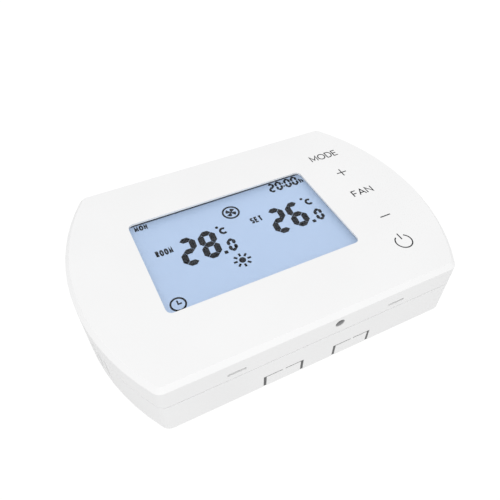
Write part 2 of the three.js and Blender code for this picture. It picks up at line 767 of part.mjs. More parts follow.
/** A springy tongue with a nose that stands in the cover's slot. */
function releaseLatch(x) {
  const tip = slotOut + SLOT_HEIGHT / 2 - 0.2;
  const tongue = block(
    [x - LATCH_WIDTH / 2, x + LATCH_WIDTH / 2],
    [latchRootOut, tip],
    [latchZ - LATCH_THICKNESS / 2, latchZ + LATCH_THICKNESS / 2],
  );
  const nose = block(
    [x - LATCH_WIDTH / 2, x + LATCH_WIDTH / 2],
    [tip - SLOT_HEIGHT + 0.4, tip],
    [-HALF_H + COVER_WALL - LATCH_NOSE, latchZ],
  );
  return join(tongue, nose, crossbar(x, latchRootOut, latchRootZ, LATCH_ROOT_RADIUS, LATCH_WIDTH));
}

function lockScrew() {
  const head = upright(LOCK_X, lockOut, LOCK_HEAD_RADIUS, lockHeadZ, lockHeadZ + LOCK_HEAD_HEIGHT);
  const shankEnd = lockHeadZ + LOCK_HEAD_HEIGHT + LOCK_SHANK_LENGTH;
  const shank = upright(LOCK_X, lockOut, LOCK_SHANK_RADIUS, lockHeadZ + 0.5, shankEnd);
  const slot = block(
    [LOCK_X - LOCK_HEAD_RADIUS - 1, LOCK_X + LOCK_HEAD_RADIUS + 1],
    [lockOut - 0.25, lockOut + 0.25],
    [lockHeadZ - 1, lockHeadZ + 0.7],
  );
  return cut(join(head, shank), slot);
}

function lockWasher() {
  const top = lockWasherZ + LOCK_WASHER_THICKNESS;
  const disc = upright(LOCK_X, lockOut, LOCK_HEAD_RADIUS, lockWasherZ, top);
  return cut(disc, upright(LOCK_X, lockOut, LOCK_SHANK_RADIUS + 0.1, lockWasherZ - 1, top + 1));
}

// ---------- Power board ----------

function powerBoard() {
  const middle = (POWER_BOARD_TOP_Z + POWER_BOARD_BOTTOM_Z) / 2;
  const height = POWER_BOARD_TOP_Z - POWER_BOARD_BOTTOM_Z;
  const board = slab(
    roundedRectangle(0, middle, POWER_BOARD_WIDTH, height, BOARD_CORNER),
    POWER_BOARD_REAR,
    POWER_BOARD_FRONT,
  );
  const holes = powerScrewPlaces.map(([x, z]) =>
    post(x, z, SCREW_SHANK / 2 + 0.2, POWER_BOARD_REAR - 1, POWER_BOARD_FRONT + 1),
  );
  const accesses = [-1, 1].map((side) =>
    slab(
      slotShape(
        (side * FIXING_PITCH) / 2,
        FIXING_Z,
        FIXING_SLOT_LENGTH + 2 * FIXING_ACCESS,
        FIXING_SLOT_WIDTH + 2 * FIXING_ACCESS,
      ),
      POWER_BOARD_REAR - 1,
      POWER_BOARD_FRONT + 1,
    ),
  );
  return cut(board, ...holes, ...accesses);
}

/** A boxy part on the power board. */
const onBoard = (x, z, width, height, tall) =>
  plate(x, z, width, height, ON_POWER_BOARD, ON_POWER_BOARD + tall);

/** A round part that stands on the power board. */
const canOnBoard = (x, z, radius, tall) =>
  post(x, z, radius, ON_POWER_BOARD, ON_POWER_BOARD + tall, 20);

function headerSocket() {
  const length = HEADER_PINS * PIN_PITCH + 2 * (PIN_PLAY + SOCKET_WALL) - (PIN_PITCH - PIN_SIZE);
  const height = PIN_SIZE + 2 * (PIN_PLAY + SOCKET_WALL);
  const top = BEHIND_BOARD - HEADER_TALL - SOCKET_GAP;
  const body = plate(HEADER_X, HEADER_Z, length, height, ON_POWER_BOARD, top);
  const well = plate(
    HEADER_X,
    HEADER_Z,
    length - 2 * SOCKET_WALL,
    height - 2 * SOCKET_WALL,
    ON_POWER_BOARD + 0.8,
    top + 1,
  );
  return cut(body, well);
}

// ---------- Terminals ----------

const blockWidth = POLES * POLE_PITCH + BLOCK_WALL;
const blockZ = POWER_BOARD_BOTTOM_Z + BLOCK_HEIGHT / 2 + 0.5;
const blockTop = BOARD_REAR - BLOCK_GAP;
const cellWidth = POLE_PITCH - BLOCK_WALL;
const clampWidth = cellWidth - 2 * FIT_GAP;
const clampFrom = ON_POWER_BOARD + 0.9;
const cellTop = clampFrom + CLAMP_TALL + CLAMP_TRAVEL + FIT_GAP;
const headSeat = cellTop + 0.6;
const poleX = (side, pole) => side * BLOCK_X + (pole - (POLES - 1) / 2) * POLE_PITCH;

/** A terminal housing: one cell for each pole, open below for the wire and in front for the screw. */
function terminalBlock(side) {
  const body = plate(side * BLOCK_X, blockZ, blockWidth, BLOCK_HEIGHT, ON_POWER_BOARD, blockTop);
  const cells = [];
  for (let pole = 0; pole < POLES; pole += 1) {
    const x = poleX(side, pole);
    const low = blockZ - BLOCK_HEIGHT / 2 - 1;
    const high = blockZ + CLAMP_HEIGHT / 2 + FIT_GAP;
    cells.push(
      block([x - cellWidth / 2, x + cellWidth / 2], [clampFrom - FIT_GAP, cellTop], [low, high]),
    );
    cells.push(post(x, blockZ, TERMINAL_SCREW_RADIUS + 0.2, cellTop - 1, headSeat + 1));
    cells.push(post(x, blockZ, TERMINAL_HEAD_RADIUS + 0.2, headSeat, blockTop + 1));
  }
  return cut(body, ...cells);
}

/** The rising cage that grips the wire. */
function wireClamp(x) {
  const body = plate(x, blockZ, clampWidth, CLAMP_HEIGHT, clampFrom, clampFrom + CLAMP_TALL);
  const mouth = plate(
    x,
    blockZ,
    clampWidth - 2 * CLAMP_WALL,
    CLAMP_HEIGHT + 2,
    clampFrom + CLAMP_WALL,
    clampFrom + CLAMP_TALL - CLAMP_WALL,
  );
  const hole = post(
    x,
    blockZ,
    TERMINAL_SCREW_RADIUS + 0.1,
    clampFrom + CLAMP_TALL - CLAMP_WALL - 0.5,
    clampFrom + CLAMP_TALL + 1,
  );
  return cut(body, mouth, hole);
}

/** The cheese-head screw that draws a clamp up. */
function terminalScrew(x) {
  const seat = headSeat + 0.15;
  const tip = clampFrom + CLAMP_TALL - CLAMP_WALL - 0.2;
  const shank = post(x, blockZ, TERMINAL_SCREW_RADIUS, tip, seat + 0.2, 12);
  const headTop = blockTop - 0.2;
  const head = post(x, blockZ, TERMINAL_HEAD_RADIUS, seat, headTop, 12);
  const slot = plate(x, blockZ, 2 * TERMINAL_HEAD_RADIUS + 1, 0.6, headTop - 0.6, headTop + 1);
  return cut(join(shank, head), slot);
}

// ---------- The assembly ----------

piece("front_cover", frontCover(), FINISHES.housing);
piece("display_lens", displayLens(), FINISHES.lens);
piece("display_front_glass", frontGlass(), FINISHES.glass);
piece("display_rear_glass", rearGlass(), FINISHES.glass);
piece("light_guide", lightGuide(), FINISHES.guide);
piece("backlight_lamp_left", backlightLamp(-1), FINISHES.guide);
piece("backlight_lamp_right", backlightLamp(1), FINISHES.guide);
piece("contact_strip", contactStrip(), FINISHES.rubber);
piece("display_frame", displayFrame(), FINISHES.housing);
piece("display_board", displayBoard(), FINISHES.board);
KEYS.forEach(([name, x, z]) => piece(`touch_spring_${name}`, keySpring(x, z), FINISHES.spring));
boardScrewPlaces.forEach(([x, z], i) =>
  piece(
    `display_board_screw_${i + 1}`,
    panScrew(x, z, BOARD_REAR - FIT_GAP / 2, SCREW_LENGTH, 1),
    FINISHES.screw,
  ),
);
piece("microcontroller", behindBoard(...MICROCONTROLLER), FINISHES.chip);
piece("clock_cell", clockCell(), FINISHES.steel);
piece("clock_cell_holder", behindBoard(...CELL_PLACE, ...CELL_HOLDER), FINISHES.chip);
piece("room_sensor", behindBoard(...ROOM_SENSOR), FINISHES.chip);
piece("pin_header", pinHeader(), FINISHES.chip);

piece("rear_base", rearBase(), FINISHES.housing);
piece("release_latch_left", releaseLatch(-SLOT_X), FINISHES.housing);
piece("release_latch_right", releaseLatch(SLOT_X), FINISHES.housing);
piece("lock_screw", lockScrew(), FINISHES.screw);
piece("lock_washer", lockWasher(), FINISHES.steel);

piece("power_board", powerBoard(), FINISHES.board);
powerScrewPlaces.forEach(([x, z], i) =>
  piece(
    `power_board_screw_${i + 1}`,
    panScrew(x, z, POWER_BOARD_FRONT + FIT_GAP / 2, 3.2, -1),
    FINISHES.screw,
  ),
);
for (let i = 0; i < RELAY_COUNT; i += 1) {
  const x = (i - (RELAY_COUNT - 1) / 2) * RELAY_PITCH;
  piece(`relay_${i + 1}`, onBoard(x, RELAY_Z, RELAY_WIDTH, RELAY_HEIGHT, RELAY_TALL), FINISHES.relay);
}
piece("power_module", onBoard(...POWER_MODULE), FINISHES.chip);
STORAGE_CAPACITORS_X.forEach((x, i) =>
  piece(
    `storage_capacitor_${i + 1}`,
    canOnBoard(x, CAPACITORS_Z, STORAGE_CAPACITOR_RADIUS, STORAGE_CAPACITOR_TALL),
    FINISHES.capacitor,
  ),
);
piece("film_capacitor", onBoard(...FILM_CAPACITOR), FINISHES.film);
piece("varistor", onBoard(...VARISTOR), FINISHES.varistor);
piece("fuse", canOnBoard(...FUSE), FINISHES.chip);
piece("header_socket", headerSocket(), FINISHES.chip);
[-1, 1].forEach((side) => {
  const place = side < 0 ? "left" : "right";
  piece(`terminal_block_${place}`, terminalBlock(side), FINISHES.terminal);
  for (let pole = 0; pole < POLES; pole += 1) {
    const x = poleX(side, pole);
    piece(`wire_clamp_${place}_${pole + 1}`, wireClamp(x), FINISHES.steel);
    piece(`terminal_screw_${place}_${pole + 1}`, terminalScrew(x), FINISHES.screw);
  }
});

export default thermostat;
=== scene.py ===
"""Looks of the wall thermostat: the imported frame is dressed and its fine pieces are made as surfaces."""

import logging
import math
from dataclasses import dataclass, field
from enum import Enum
from typing import Sequence

import bpy
import numpy as np
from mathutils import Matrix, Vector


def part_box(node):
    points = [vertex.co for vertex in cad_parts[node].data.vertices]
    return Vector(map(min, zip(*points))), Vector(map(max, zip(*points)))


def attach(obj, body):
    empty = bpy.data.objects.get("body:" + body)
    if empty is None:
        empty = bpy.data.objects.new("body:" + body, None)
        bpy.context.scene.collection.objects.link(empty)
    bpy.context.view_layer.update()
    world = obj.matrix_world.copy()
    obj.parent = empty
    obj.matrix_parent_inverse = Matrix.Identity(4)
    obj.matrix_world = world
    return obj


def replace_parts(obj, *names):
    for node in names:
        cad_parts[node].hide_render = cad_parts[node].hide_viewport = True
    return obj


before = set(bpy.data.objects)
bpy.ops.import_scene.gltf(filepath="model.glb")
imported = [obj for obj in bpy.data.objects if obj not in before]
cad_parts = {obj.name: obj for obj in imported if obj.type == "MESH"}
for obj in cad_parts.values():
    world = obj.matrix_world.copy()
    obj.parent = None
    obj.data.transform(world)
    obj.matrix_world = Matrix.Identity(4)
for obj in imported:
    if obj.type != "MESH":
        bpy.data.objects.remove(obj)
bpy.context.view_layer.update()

Array = np.ndarray
Colour = tuple[float, float, float]
LOG = logging.getLogger("thermostat")
MM = 0.001


class Facing(Enum):
    """Which way a shape's height runs: rows are its across, up and along directions."""

    ROOM = ((1, 0, 0), (0, 0, 1), (0, -1, 0))
    WALL = ((1, 0, 0), (0, 0, 1), (0, 1, 0))
    DOWN = ((1, 0, 0), (0, 1, 0), (0, 0, -1))
    UP = ((1, 0, 0), (0, 1, 0), (0, 0, 1))


class Recess(Enum):
    """The drive that is cut into a screw head."""

    CROSS = "cross"
    SLOT = "slot"


# ---------- Surfaces ----------


@dataclass
class Surface:
    """One or more closed surfaces: points in mm, and their four-sided and three-sided faces."""

    points: Array
    quads: Array
    triangles: Array

    @staticmethod
    def from_grid(points: Array, ring: bool = True, loop: bool = False) -> "Surface":
        """Joins neighbours of a grid, row to row and column to column, and closes open ends.

        Args:
            points: grid of shape (rows, columns, 3) in mm.
            ring: whether the last column joins the first.
            loop: whether the last row joins the first, instead of closing both ends with a fan.

        Returns:
            The closed surface, with its faces turned outwards.
        """
        rows, columns = points.shape[:2]
        index = np.arange(rows * columns).reshape(rows, columns)
        grid = np.vstack([index, index[:1]]) if loop else index
        grid = np.hstack([grid, grid[:, :1]]) if ring else grid
        quads = np.stack([grid[:-1, :-1], grid[:-1, 1:], grid[1:, 1:], grid[1:, :-1]], -1).reshape(-1, 4)
        flat = points.reshape(-1, 3)
        triangles = np.zeros((0, 3), int)
        if not loop:
            ends = np.stack([points[0].mean(0), points[-1].mean(0)])
            first, last = len(flat), len(flat) + 1
            flat = np.vstack([flat, ends])
            low, high = index[0], index[-1]
            fan_low = np.stack([np.roll(low, -1), low, np.full_like(low, first)], -1)
            fan_high = np.stack([high, np.roll(high, -1), np.full_like(high, last)], -1)
            triangles = np.vstack([fan_low, fan_high])
        return Surface(flat, quads, triangles).outward()

    def outward(self) -> "Surface":
        """Turns the faces round if the volume they enclose, a sum of signed tetrahedra, is negative."""
        a, b, c, d = (self.points[self.quads[:, k]] for k in range(4))
        volume = np.einsum("ij,ij->", a, np.cross(b, c)) + np.einsum("ij,ij->", a, np.cross(c, d))
        if len(self.triangles):
            a, b, c = (self.points[self.triangles[:, k]] for k in range(3))
            volume += np.einsum("ij,ij->", a, np.cross(b, c))
        if volume < 0:
            return Surface(self.points, self.quads[:, ::-1], self.triangles[:, ::-1])
        return self

    @staticmethod
    def joined(parts: Sequence["Surface"]) -> "Surface":
        """Puts several surfaces into one, each with its own points.

        Args:
            parts: surfaces to put together.

        Returns:
            All of them as one surface.
        """
        starts = np.cumsum([0] + [len(part.points) for part in parts[:-1]])
        return Surface(
            np.vstack([part.points for part in parts]),
            np.vstack([part.quads + start for part, start in zip(parts, starts)]),
            np.vstack([part.triangles + start for part, start in zip(parts, starts)]),
        )

    def repeated(self, places: Array, turns: Array | None = None) -> "Surface":
        """Copies the surface to many places: point = place + turn of the local point about its height.

        Args:
            places: offsets of shape (copies, 3) in mm.
            turns: angle of each copy in radians, or none for no turn.

        Returns:
            All copies as one surface.
        """
        places = np.asarray(places, float)
        angle = np.zeros(len(places)) if turns is None else np.asarray(turns, float)
        cos, sin, zero, one = np.cos(angle), np.sin(angle), np.zeros_like(angle), np.ones_like(angle)
        spin = np.stack([cos, sin, zero, -sin, cos, zero, zero, zero, one], -1).reshape(-1, 3, 3)
        points = np.einsum("pk,nkj->npj", self.points, spin) + places[:, None]
        step = np.arange(len(places))[:, None, None] * len(self.points)
        return Surface(
            points.reshape(-1, 3),
            (self.quads[None] + step).reshape(-1, 4),
            (self.triangles[None] + step).reshape(-1, 3),
        )

    def set_at(self, x: float, out: float, z: float, facing: Facing = Facing.ROOM) -> "Surface":
        """Moves the local shape to a place given by X, distance out from the wall, and Z, in mm."""
        points = self.points @ np.array(facing.value, float) + np.array([x, -out, z])
        return Surface(points, self.quads, self.triangles).outward()

    def make(self, name: str, finish: "Finish", body: str, slot: str, smooth: float = 38) -> bpy.types.Object:
        """Writes the surface into a new mesh object that rides on a body.

        Args:
            name: the piece's name.
            finish: what it is dressed in.
            body: the CAD body that it moves with.
            slot: the record's material slot; not used.
            smooth: edges sharper than this angle in degrees stay sharp.

        Returns:
            The new object, at the origin.
        """
        mesh = bpy.data.meshes.new(name)
        loops = np.concatenate([self.quads.ravel(), self.triangles.ravel()])
        sizes = np.concatenate([np.full(len(self.quads), 4), np.full(len(self.triangles), 3)])
        mesh.vertices.add(len(self.points))
        mesh.vertices.foreach_set("co", (self.points * MM).astype(np.float32).ravel())
        mesh.loops.add(len(loops))
        mesh.loops.foreach_set("vertex_index", loops.astype(np.int32))
        mesh.polygons.add(len(sizes))
        mesh.polygons.foreach_set("loop_start", (np.cumsum(sizes) - sizes).astype(np.int32))
        mesh.update(calc_edges=True)
        mesh.validate()
        mesh.shade_smooth()
        mesh.set_sharp_from_angle(angle=math.radians(smooth))
        piece = bpy.data.objects.new(name, mesh)
        bpy.context.scene.collection.objects.link(piece)
        mesh.materials.append(finish.material())
        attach(piece, body)
        LOG.info("%s: %d faces, on %s", name, len(sizes), body)
        return piece


def circle(steps: int) -> Array:
    """Unit directions around a circle: (cos a, sin a) for equal steps of the angle a."""
    angle = np.linspace(0, 2 * math.pi, steps, endpoint=False)
    return np.stack([np.cos(angle), np.sin(angle)], -1)


def lofted(cores: Array, rays: Array, reach: Array, height: Array) -> Surface:
    """A closed outline carried along a profile: point (i, j) = core j + reach i times ray j, at height i.

    Args:
        cores: where each outline point's ray starts, shape (columns, 2).
        rays: unit direction of each outline point, shape (columns, 2).
        reach: length of the rays on each row.
        height: height of each row.

    Returns:
        The closed surface.
    """
    flat = cores[None] + reach[:, None, None] * rays[None]
    rise = np.broadcast_to(height[:, None, None], flat.shape[:2] + (1,))
    return Surface.from_grid(np.concatenate([flat, rise], -1))


def revolved(reach: Sequence[float], height: Sequence[float], steps: int = 32) -> Surface:
    """A profile turned about its axis: point (i, j) = reach i times the direction j, at height i."""
    rays = circle(steps)
    return lofted(np.zeros_like(rays), rays, np.asarray(reach, float), np.asarray(height, float))


def rounded_profile(
    reach: float, low: float, high: float, edge: float, steps: int = 4
) -> tuple[Array, Array]:
    """Profile of a wall with round edges: reach - e + e sin a, height e (1 - cos a) in from each end.

    Args:
        reach: half-size of the block that the profile goes round.
        low: lowest level.
        high: highest level.
        edge: radius of the rounded edges.
        steps: points in each quarter turn.

    Returns:
        How far out and how high each row of the profile is.
    """
    angle = np.linspace(0, math.pi / 2, steps)
    out = reach - edge + edge * np.sin(angle)
    rise = edge * (1 - np.cos(angle))
    return np.concatenate([out, out[::-1]]), np.concatenate([low + rise, high - rise[::-1]])


def rounded_outline(width: float, height: float, radius: float, steps: int = 5) -> tuple[Array, Array]:
    """Cores and rays of a rounded rectangle: each core is its corner's centre, each ray turns through it.

    Args:
        width: size across.
        height: size along.
        radius: corner radius.
        steps: points in each corner.

    Returns:
        The cores and the rays, each of shape (points, 2).
    """
    angle = np.linspace(0, math.pi / 2, steps)[None] + np.arange(4)[:, None] * math.pi / 2
    signs = np.array([[1, 1], [-1, 1], [-1, -1], [1, -1]], float)
    corner = signs * np.array([width / 2 - radius, height / 2 - radius])
    cores = np.repeat(corner, steps, axis=0)
    return cores, np.stack([np.cos(angle), np.sin(angle)], -1).reshape(-1, 2)


def rounded_points(width: float, height: float, radius: float) -> Array:
    """Outline of a rounded rectangle about its centre: core plus radius times ray."""
    cores, rays = rounded_outline(width, height, radius, 4)
    return cores + radius * rays


def straight(*pairs: tuple[float, float]) -> Array:
    """A path of straight runs through the given pairs."""
    return np.array(pairs, float)


def cushion_block(
    width: float, height: float, low: float, high: float, radius: float, edge: float
) -> Surface:
    """A block with round corners and round edges: the rounded outline carried along the rounded profile.

    Args:
        width: size across.
        height: size along.
        low: lowest level.
        high: highest level.
        radius: radius of the upright corners.
        edge: radius of the level edges.

    Returns:
        The closed block.
    """
    cores, rays = rounded_outline(width, height, radius)
    reach, rise = rounded_profile(radius, low, high, edge)
    return lofted(cores, rays, reach, rise)


def polygon_plate(outline: Array, low: float, high: float) -> Surface:
    """A flat plate: the outline's points at a low and at a high level."""
    rows = [np.column_stack([outline, np.full(len(outline), level)]) for level in (low, high)]
    return Surface.from_grid(np.stack(rows))


def swept(path: Array, section: Array, reference: Sequence[float], loop: bool = False) -> Surface:
    """A section carried along a path: point (i, j) = path i + s j times side i + t j times top i.

    Args:
        path: points of shape (rows, 3) in mm.
        section: (s, t) pairs of shape (columns, 2) in mm.
        reference: direction that the top axis leans towards.
        loop: whether the path closes on itself.

    Returns:
        The closed surface. side = tangent x reference, and top = side x tangent.
    """
    ahead, behind = np.roll(path, -1, 0), np.roll(path, 1, 0)
    if not loop:
        ahead[-1], behind[0] = path[-1], path[0]
    before = path - behind
    after = ahead - path
    unit = [v / np.maximum(np.linalg.norm(v, axis=1, keepdims=True), 1e-9) for v in (before, after)]
    tangent = unit[0] + unit[1]
    tangent /= np.maximum(np.linalg.norm(tangent, axis=1, keepdims=True), 1e-9)
    side = np.cross(tangent, np.asarray(reference, float))
    side /= np.maximum(np.linalg.norm(side, axis=1, keepdims=True), 1e-9)
    top = np.cross(side, tangent)
    solid = np.linalg.norm(unit[1], axis=1, keepdims=True) > 0.5
    heading = np.where(solid, unit[1], unit[0])
    mitre = 1 / np.clip(np.einsum("ij,ij->i", tangent, heading), 0.45, 1)
    flat = np.linalg.norm(np.cross(unit[0], unit[1]), axis=1) > 1e-6
    widen = np.where(flat, mitre, 1)
    in_plane = np.abs(np.einsum("ij,j->i", np.cross(unit[0], unit[1]), np.asarray(reference, float)))
    grow_side = np.where(in_plane > 1e-6, widen, 1)[:, None, None]
    points = path[:, None] + grow_side * side[:, None] * section[
        None, :, :1
    ] + top[:, None] * section[None, :, 1:]
    return Surface.from_grid(points, loop=loop)


def tube(
    path: Array, radius: float, reference: Sequence[float], sides: int = 10, loop: bool = False
) -> Surface:
    """A round wire: a circle carried along the path."""
    return swept(path, circle(sides) * radius, reference, loop)


def stroke(line: Array, width: float, low: float, high: float, loop: bool = False) -> Surface:
    """A flat printed line: a rectangle of the line's width carried along its points with mitred corners.

    Args:
        line: points of shape (rows, 2) in mm.
        width: the line's width.
        low: its lower level.
        high: its upper level.
        loop: whether the line closes on itself.

    Returns:
        The closed strip.
    """
    path = np.column_stack([line, np.full(len(line), (low + high) / 2)])
    half, rise = width / 2, (high - low) / 2
    section = np.array([[-half, -rise], [half, -rise], [half, rise], [-half, rise]])
    return swept(path, section, (0, 0, 1), loop)


def bow(x: float, z: float, width: float, height: float, start: float, stop: float, steps: int = 12) -> Array:
    """Points of an elliptical arc from one angle in degrees to another about a centre."""
    angle = np.radians(np.linspace(start, stop, steps))
    return np.column_stack([x + width * np.cos(angle), z + height * np.sin(angle)])


def screw(
    head: float, head_height: float, shank: float, length: float, pitch: float, recess: Recess
) -> Surface:
    """A whole screw, its head's top at height 0 and its shank running down.

    Rows run from the tip up the shank, round the head and in over its top. On the shank the reach is
    the root radius plus a ridge that follows the helix: (1 + cos(2 pi height / pitch - angle)) / 2
    to the fourth power, faded out at both ends. Over the head the height is the low dome less the
    recess, which is a product of smooth steps across the arms.

    Args:
        head: head radius.
        head_height: height of the head.
        shank: radius over the thread.
        length: shank length below the head.
        pitch: thread pitch.
        recess: drive in the head.

    Returns:
        The closed surface.
    """
    columns = 48
    rays = circle(columns)
    angle = np.arange(columns) * 2 * math.pi / columns
    rise = np.linspace(-head_height - length, -head_height, int(length / pitch * 9) + 2)
    fade = np.clip((rise - rise[0]) / (1.2 * pitch), 0, 1) * np.clip((rise[-1] - rise) / (0.4 * pitch), 0, 1)
    phase = 2 * math.pi * rise[:, None] / pitch - angle[None]
    ridge = ((1 + np.cos(phase)) / 2) ** 4
    root = shank * (0.8 - 0.35 * (1 - np.clip((rise - rise[0]) / (1.5 * pitch), 0, 1)))
    reach = root[:, None] + (shank - root[:, None]) * ridge * fade[:, None]
    thread = np.concatenate(
        [reach[..., None] * rays[None], np.broadcast_to(rise[:, None, None], reach.shape + (1,))], -1
    )
    edge = min(0.25, head_height / 4)
    turn = np.linspace(0, math.pi / 2, 5)
    rim_reach = np.concatenate([[head - edge], [head], head - edge + edge * np.cos(turn)])
    rim_rise = np.concatenate([[-head_height], [-head_height + edge], -edge + edge * np.sin(turn)]) - 0.04
    rim = rim_reach[:, None, None] * rays[None]
    rim = np.concatenate([rim, np.broadcast_to(rim_rise[:, None, None], rim.shape[:2] + (1,))], -1)
    inner = np.linspace(head - edge, 0.02 * head, 22)[1:]
    flat = inner[:, None, None] * rays[None]
    across, up = np.abs(flat[..., 0]), np.abs(flat[..., 1])
    soft, arm, slot = 0.1, 0.32, 0.3
    if recess is Recess.CROSS:
        narrow, far = np.minimum(across, up), np.maximum(across, up)
        cut = np.clip((arm - narrow) / soft, 0, 1) * np.clip((0.62 * head - far) / soft, 0, 1)
        depth = 0.75
    else:
        cut = np.clip((slot - up) / soft, 0, 1)
        depth = 0.6
    dome = 0.04 * (inner[:, None] / head) ** 2
    top = np.concatenate([flat, (-dome - depth * cut)[..., None]], -1)
    return Surface.from_grid(np.concatenate([thread, rim, top]))


# ---------- Node graphs ----------


class Graph:
    """A node tree filled node by node."""

    def __init__(self, tree: bpy.types.NodeTree) -> None:
        """Starts on an existing tree."""
        self.tree = tree

    def add(self, kind: str, inputs: dict | None = None, **settings: object) -> bpy.types.Node:
        """Adds a node, sets its properties, and links or sets its inputs.

        Args:
            kind: Blender's name of the node type.
            inputs: value or output socket for each named or numbered input.
            settings: node properties.

        Returns:
            The new node.
        """
        node = self.tree.nodes.new(kind)
        for key, value in settings.items():
            setattr(node, key, value)
        for key, value in (inputs or {}).items():
            if isinstance(value, bpy.types.NodeSocket):
                self.tree.links.new(value, node.inputs[key])
            else:
                node.inputs[key].default_value = value
        return node

    def math(self, operation: str, *values: object, clamp: bool = False) -> bpy.types.NodeSocket:
        """Adds a Math node on the given values and returns its output."""
        inputs = dict(enumerate(values))
        return self.add("ShaderNodeMath", inputs, operation=operation, use_clamp=clamp).outputs[0]

    def ramp(
        self, value: object, low: float, high: float, start: float = 0.0, stop: float = 1.0
    ) -> bpy.types.NodeSocket:
        """Maps a value from low..high to start..stop, held at both ends, and returns the output."""
        return self.add("ShaderNodeMapRange", {0: value, 1: low, 2: high, 3: start, 4: stop}).outputs[0]

    def mix(self, factor: object, first: object, second: object) -> bpy.types.NodeSocket:
        """Mixes two colours and returns the output."""
        pair = [(*c, 1.0) if isinstance(c, tuple) and len(c) == 3 else c for c in (first, second)]
        node = self.add("ShaderNodeMix", {0: factor, 6: pair[0], 7: pair[1]}, data_type="RGBA")
        return node.outputs[2]

    def noise(
        self, vector: object, scale: object, detail: float = 3.0, rough: float = 0.55
    ) -> bpy.types.NodeSocket:
        """Adds a noise texture and returns its value.

        Args:
            vector: where it is read.
            scale: cells in a metre.
            detail: number of finer layers.
            rough: weight of the finer layers.

        Returns:
            The value output.
        """
        inputs = {"Vector": vector, "Scale": scale, "Detail": detail, "Roughness": rough}
        return self.add("ShaderNodeTexNoise", inputs).outputs[0]

    def place(self, stretch: Sequence[float] = (1, 1, 1)) -> bpy.types.NodeSocket:
        """Object coordinates, stretched, as an output socket."""
        where = self.add("ShaderNodeTexCoord").outputs["Object"]
        return self.add("ShaderNodeMapping", {"Vector": where, "Scale": tuple(stretch)}).outputs[0]


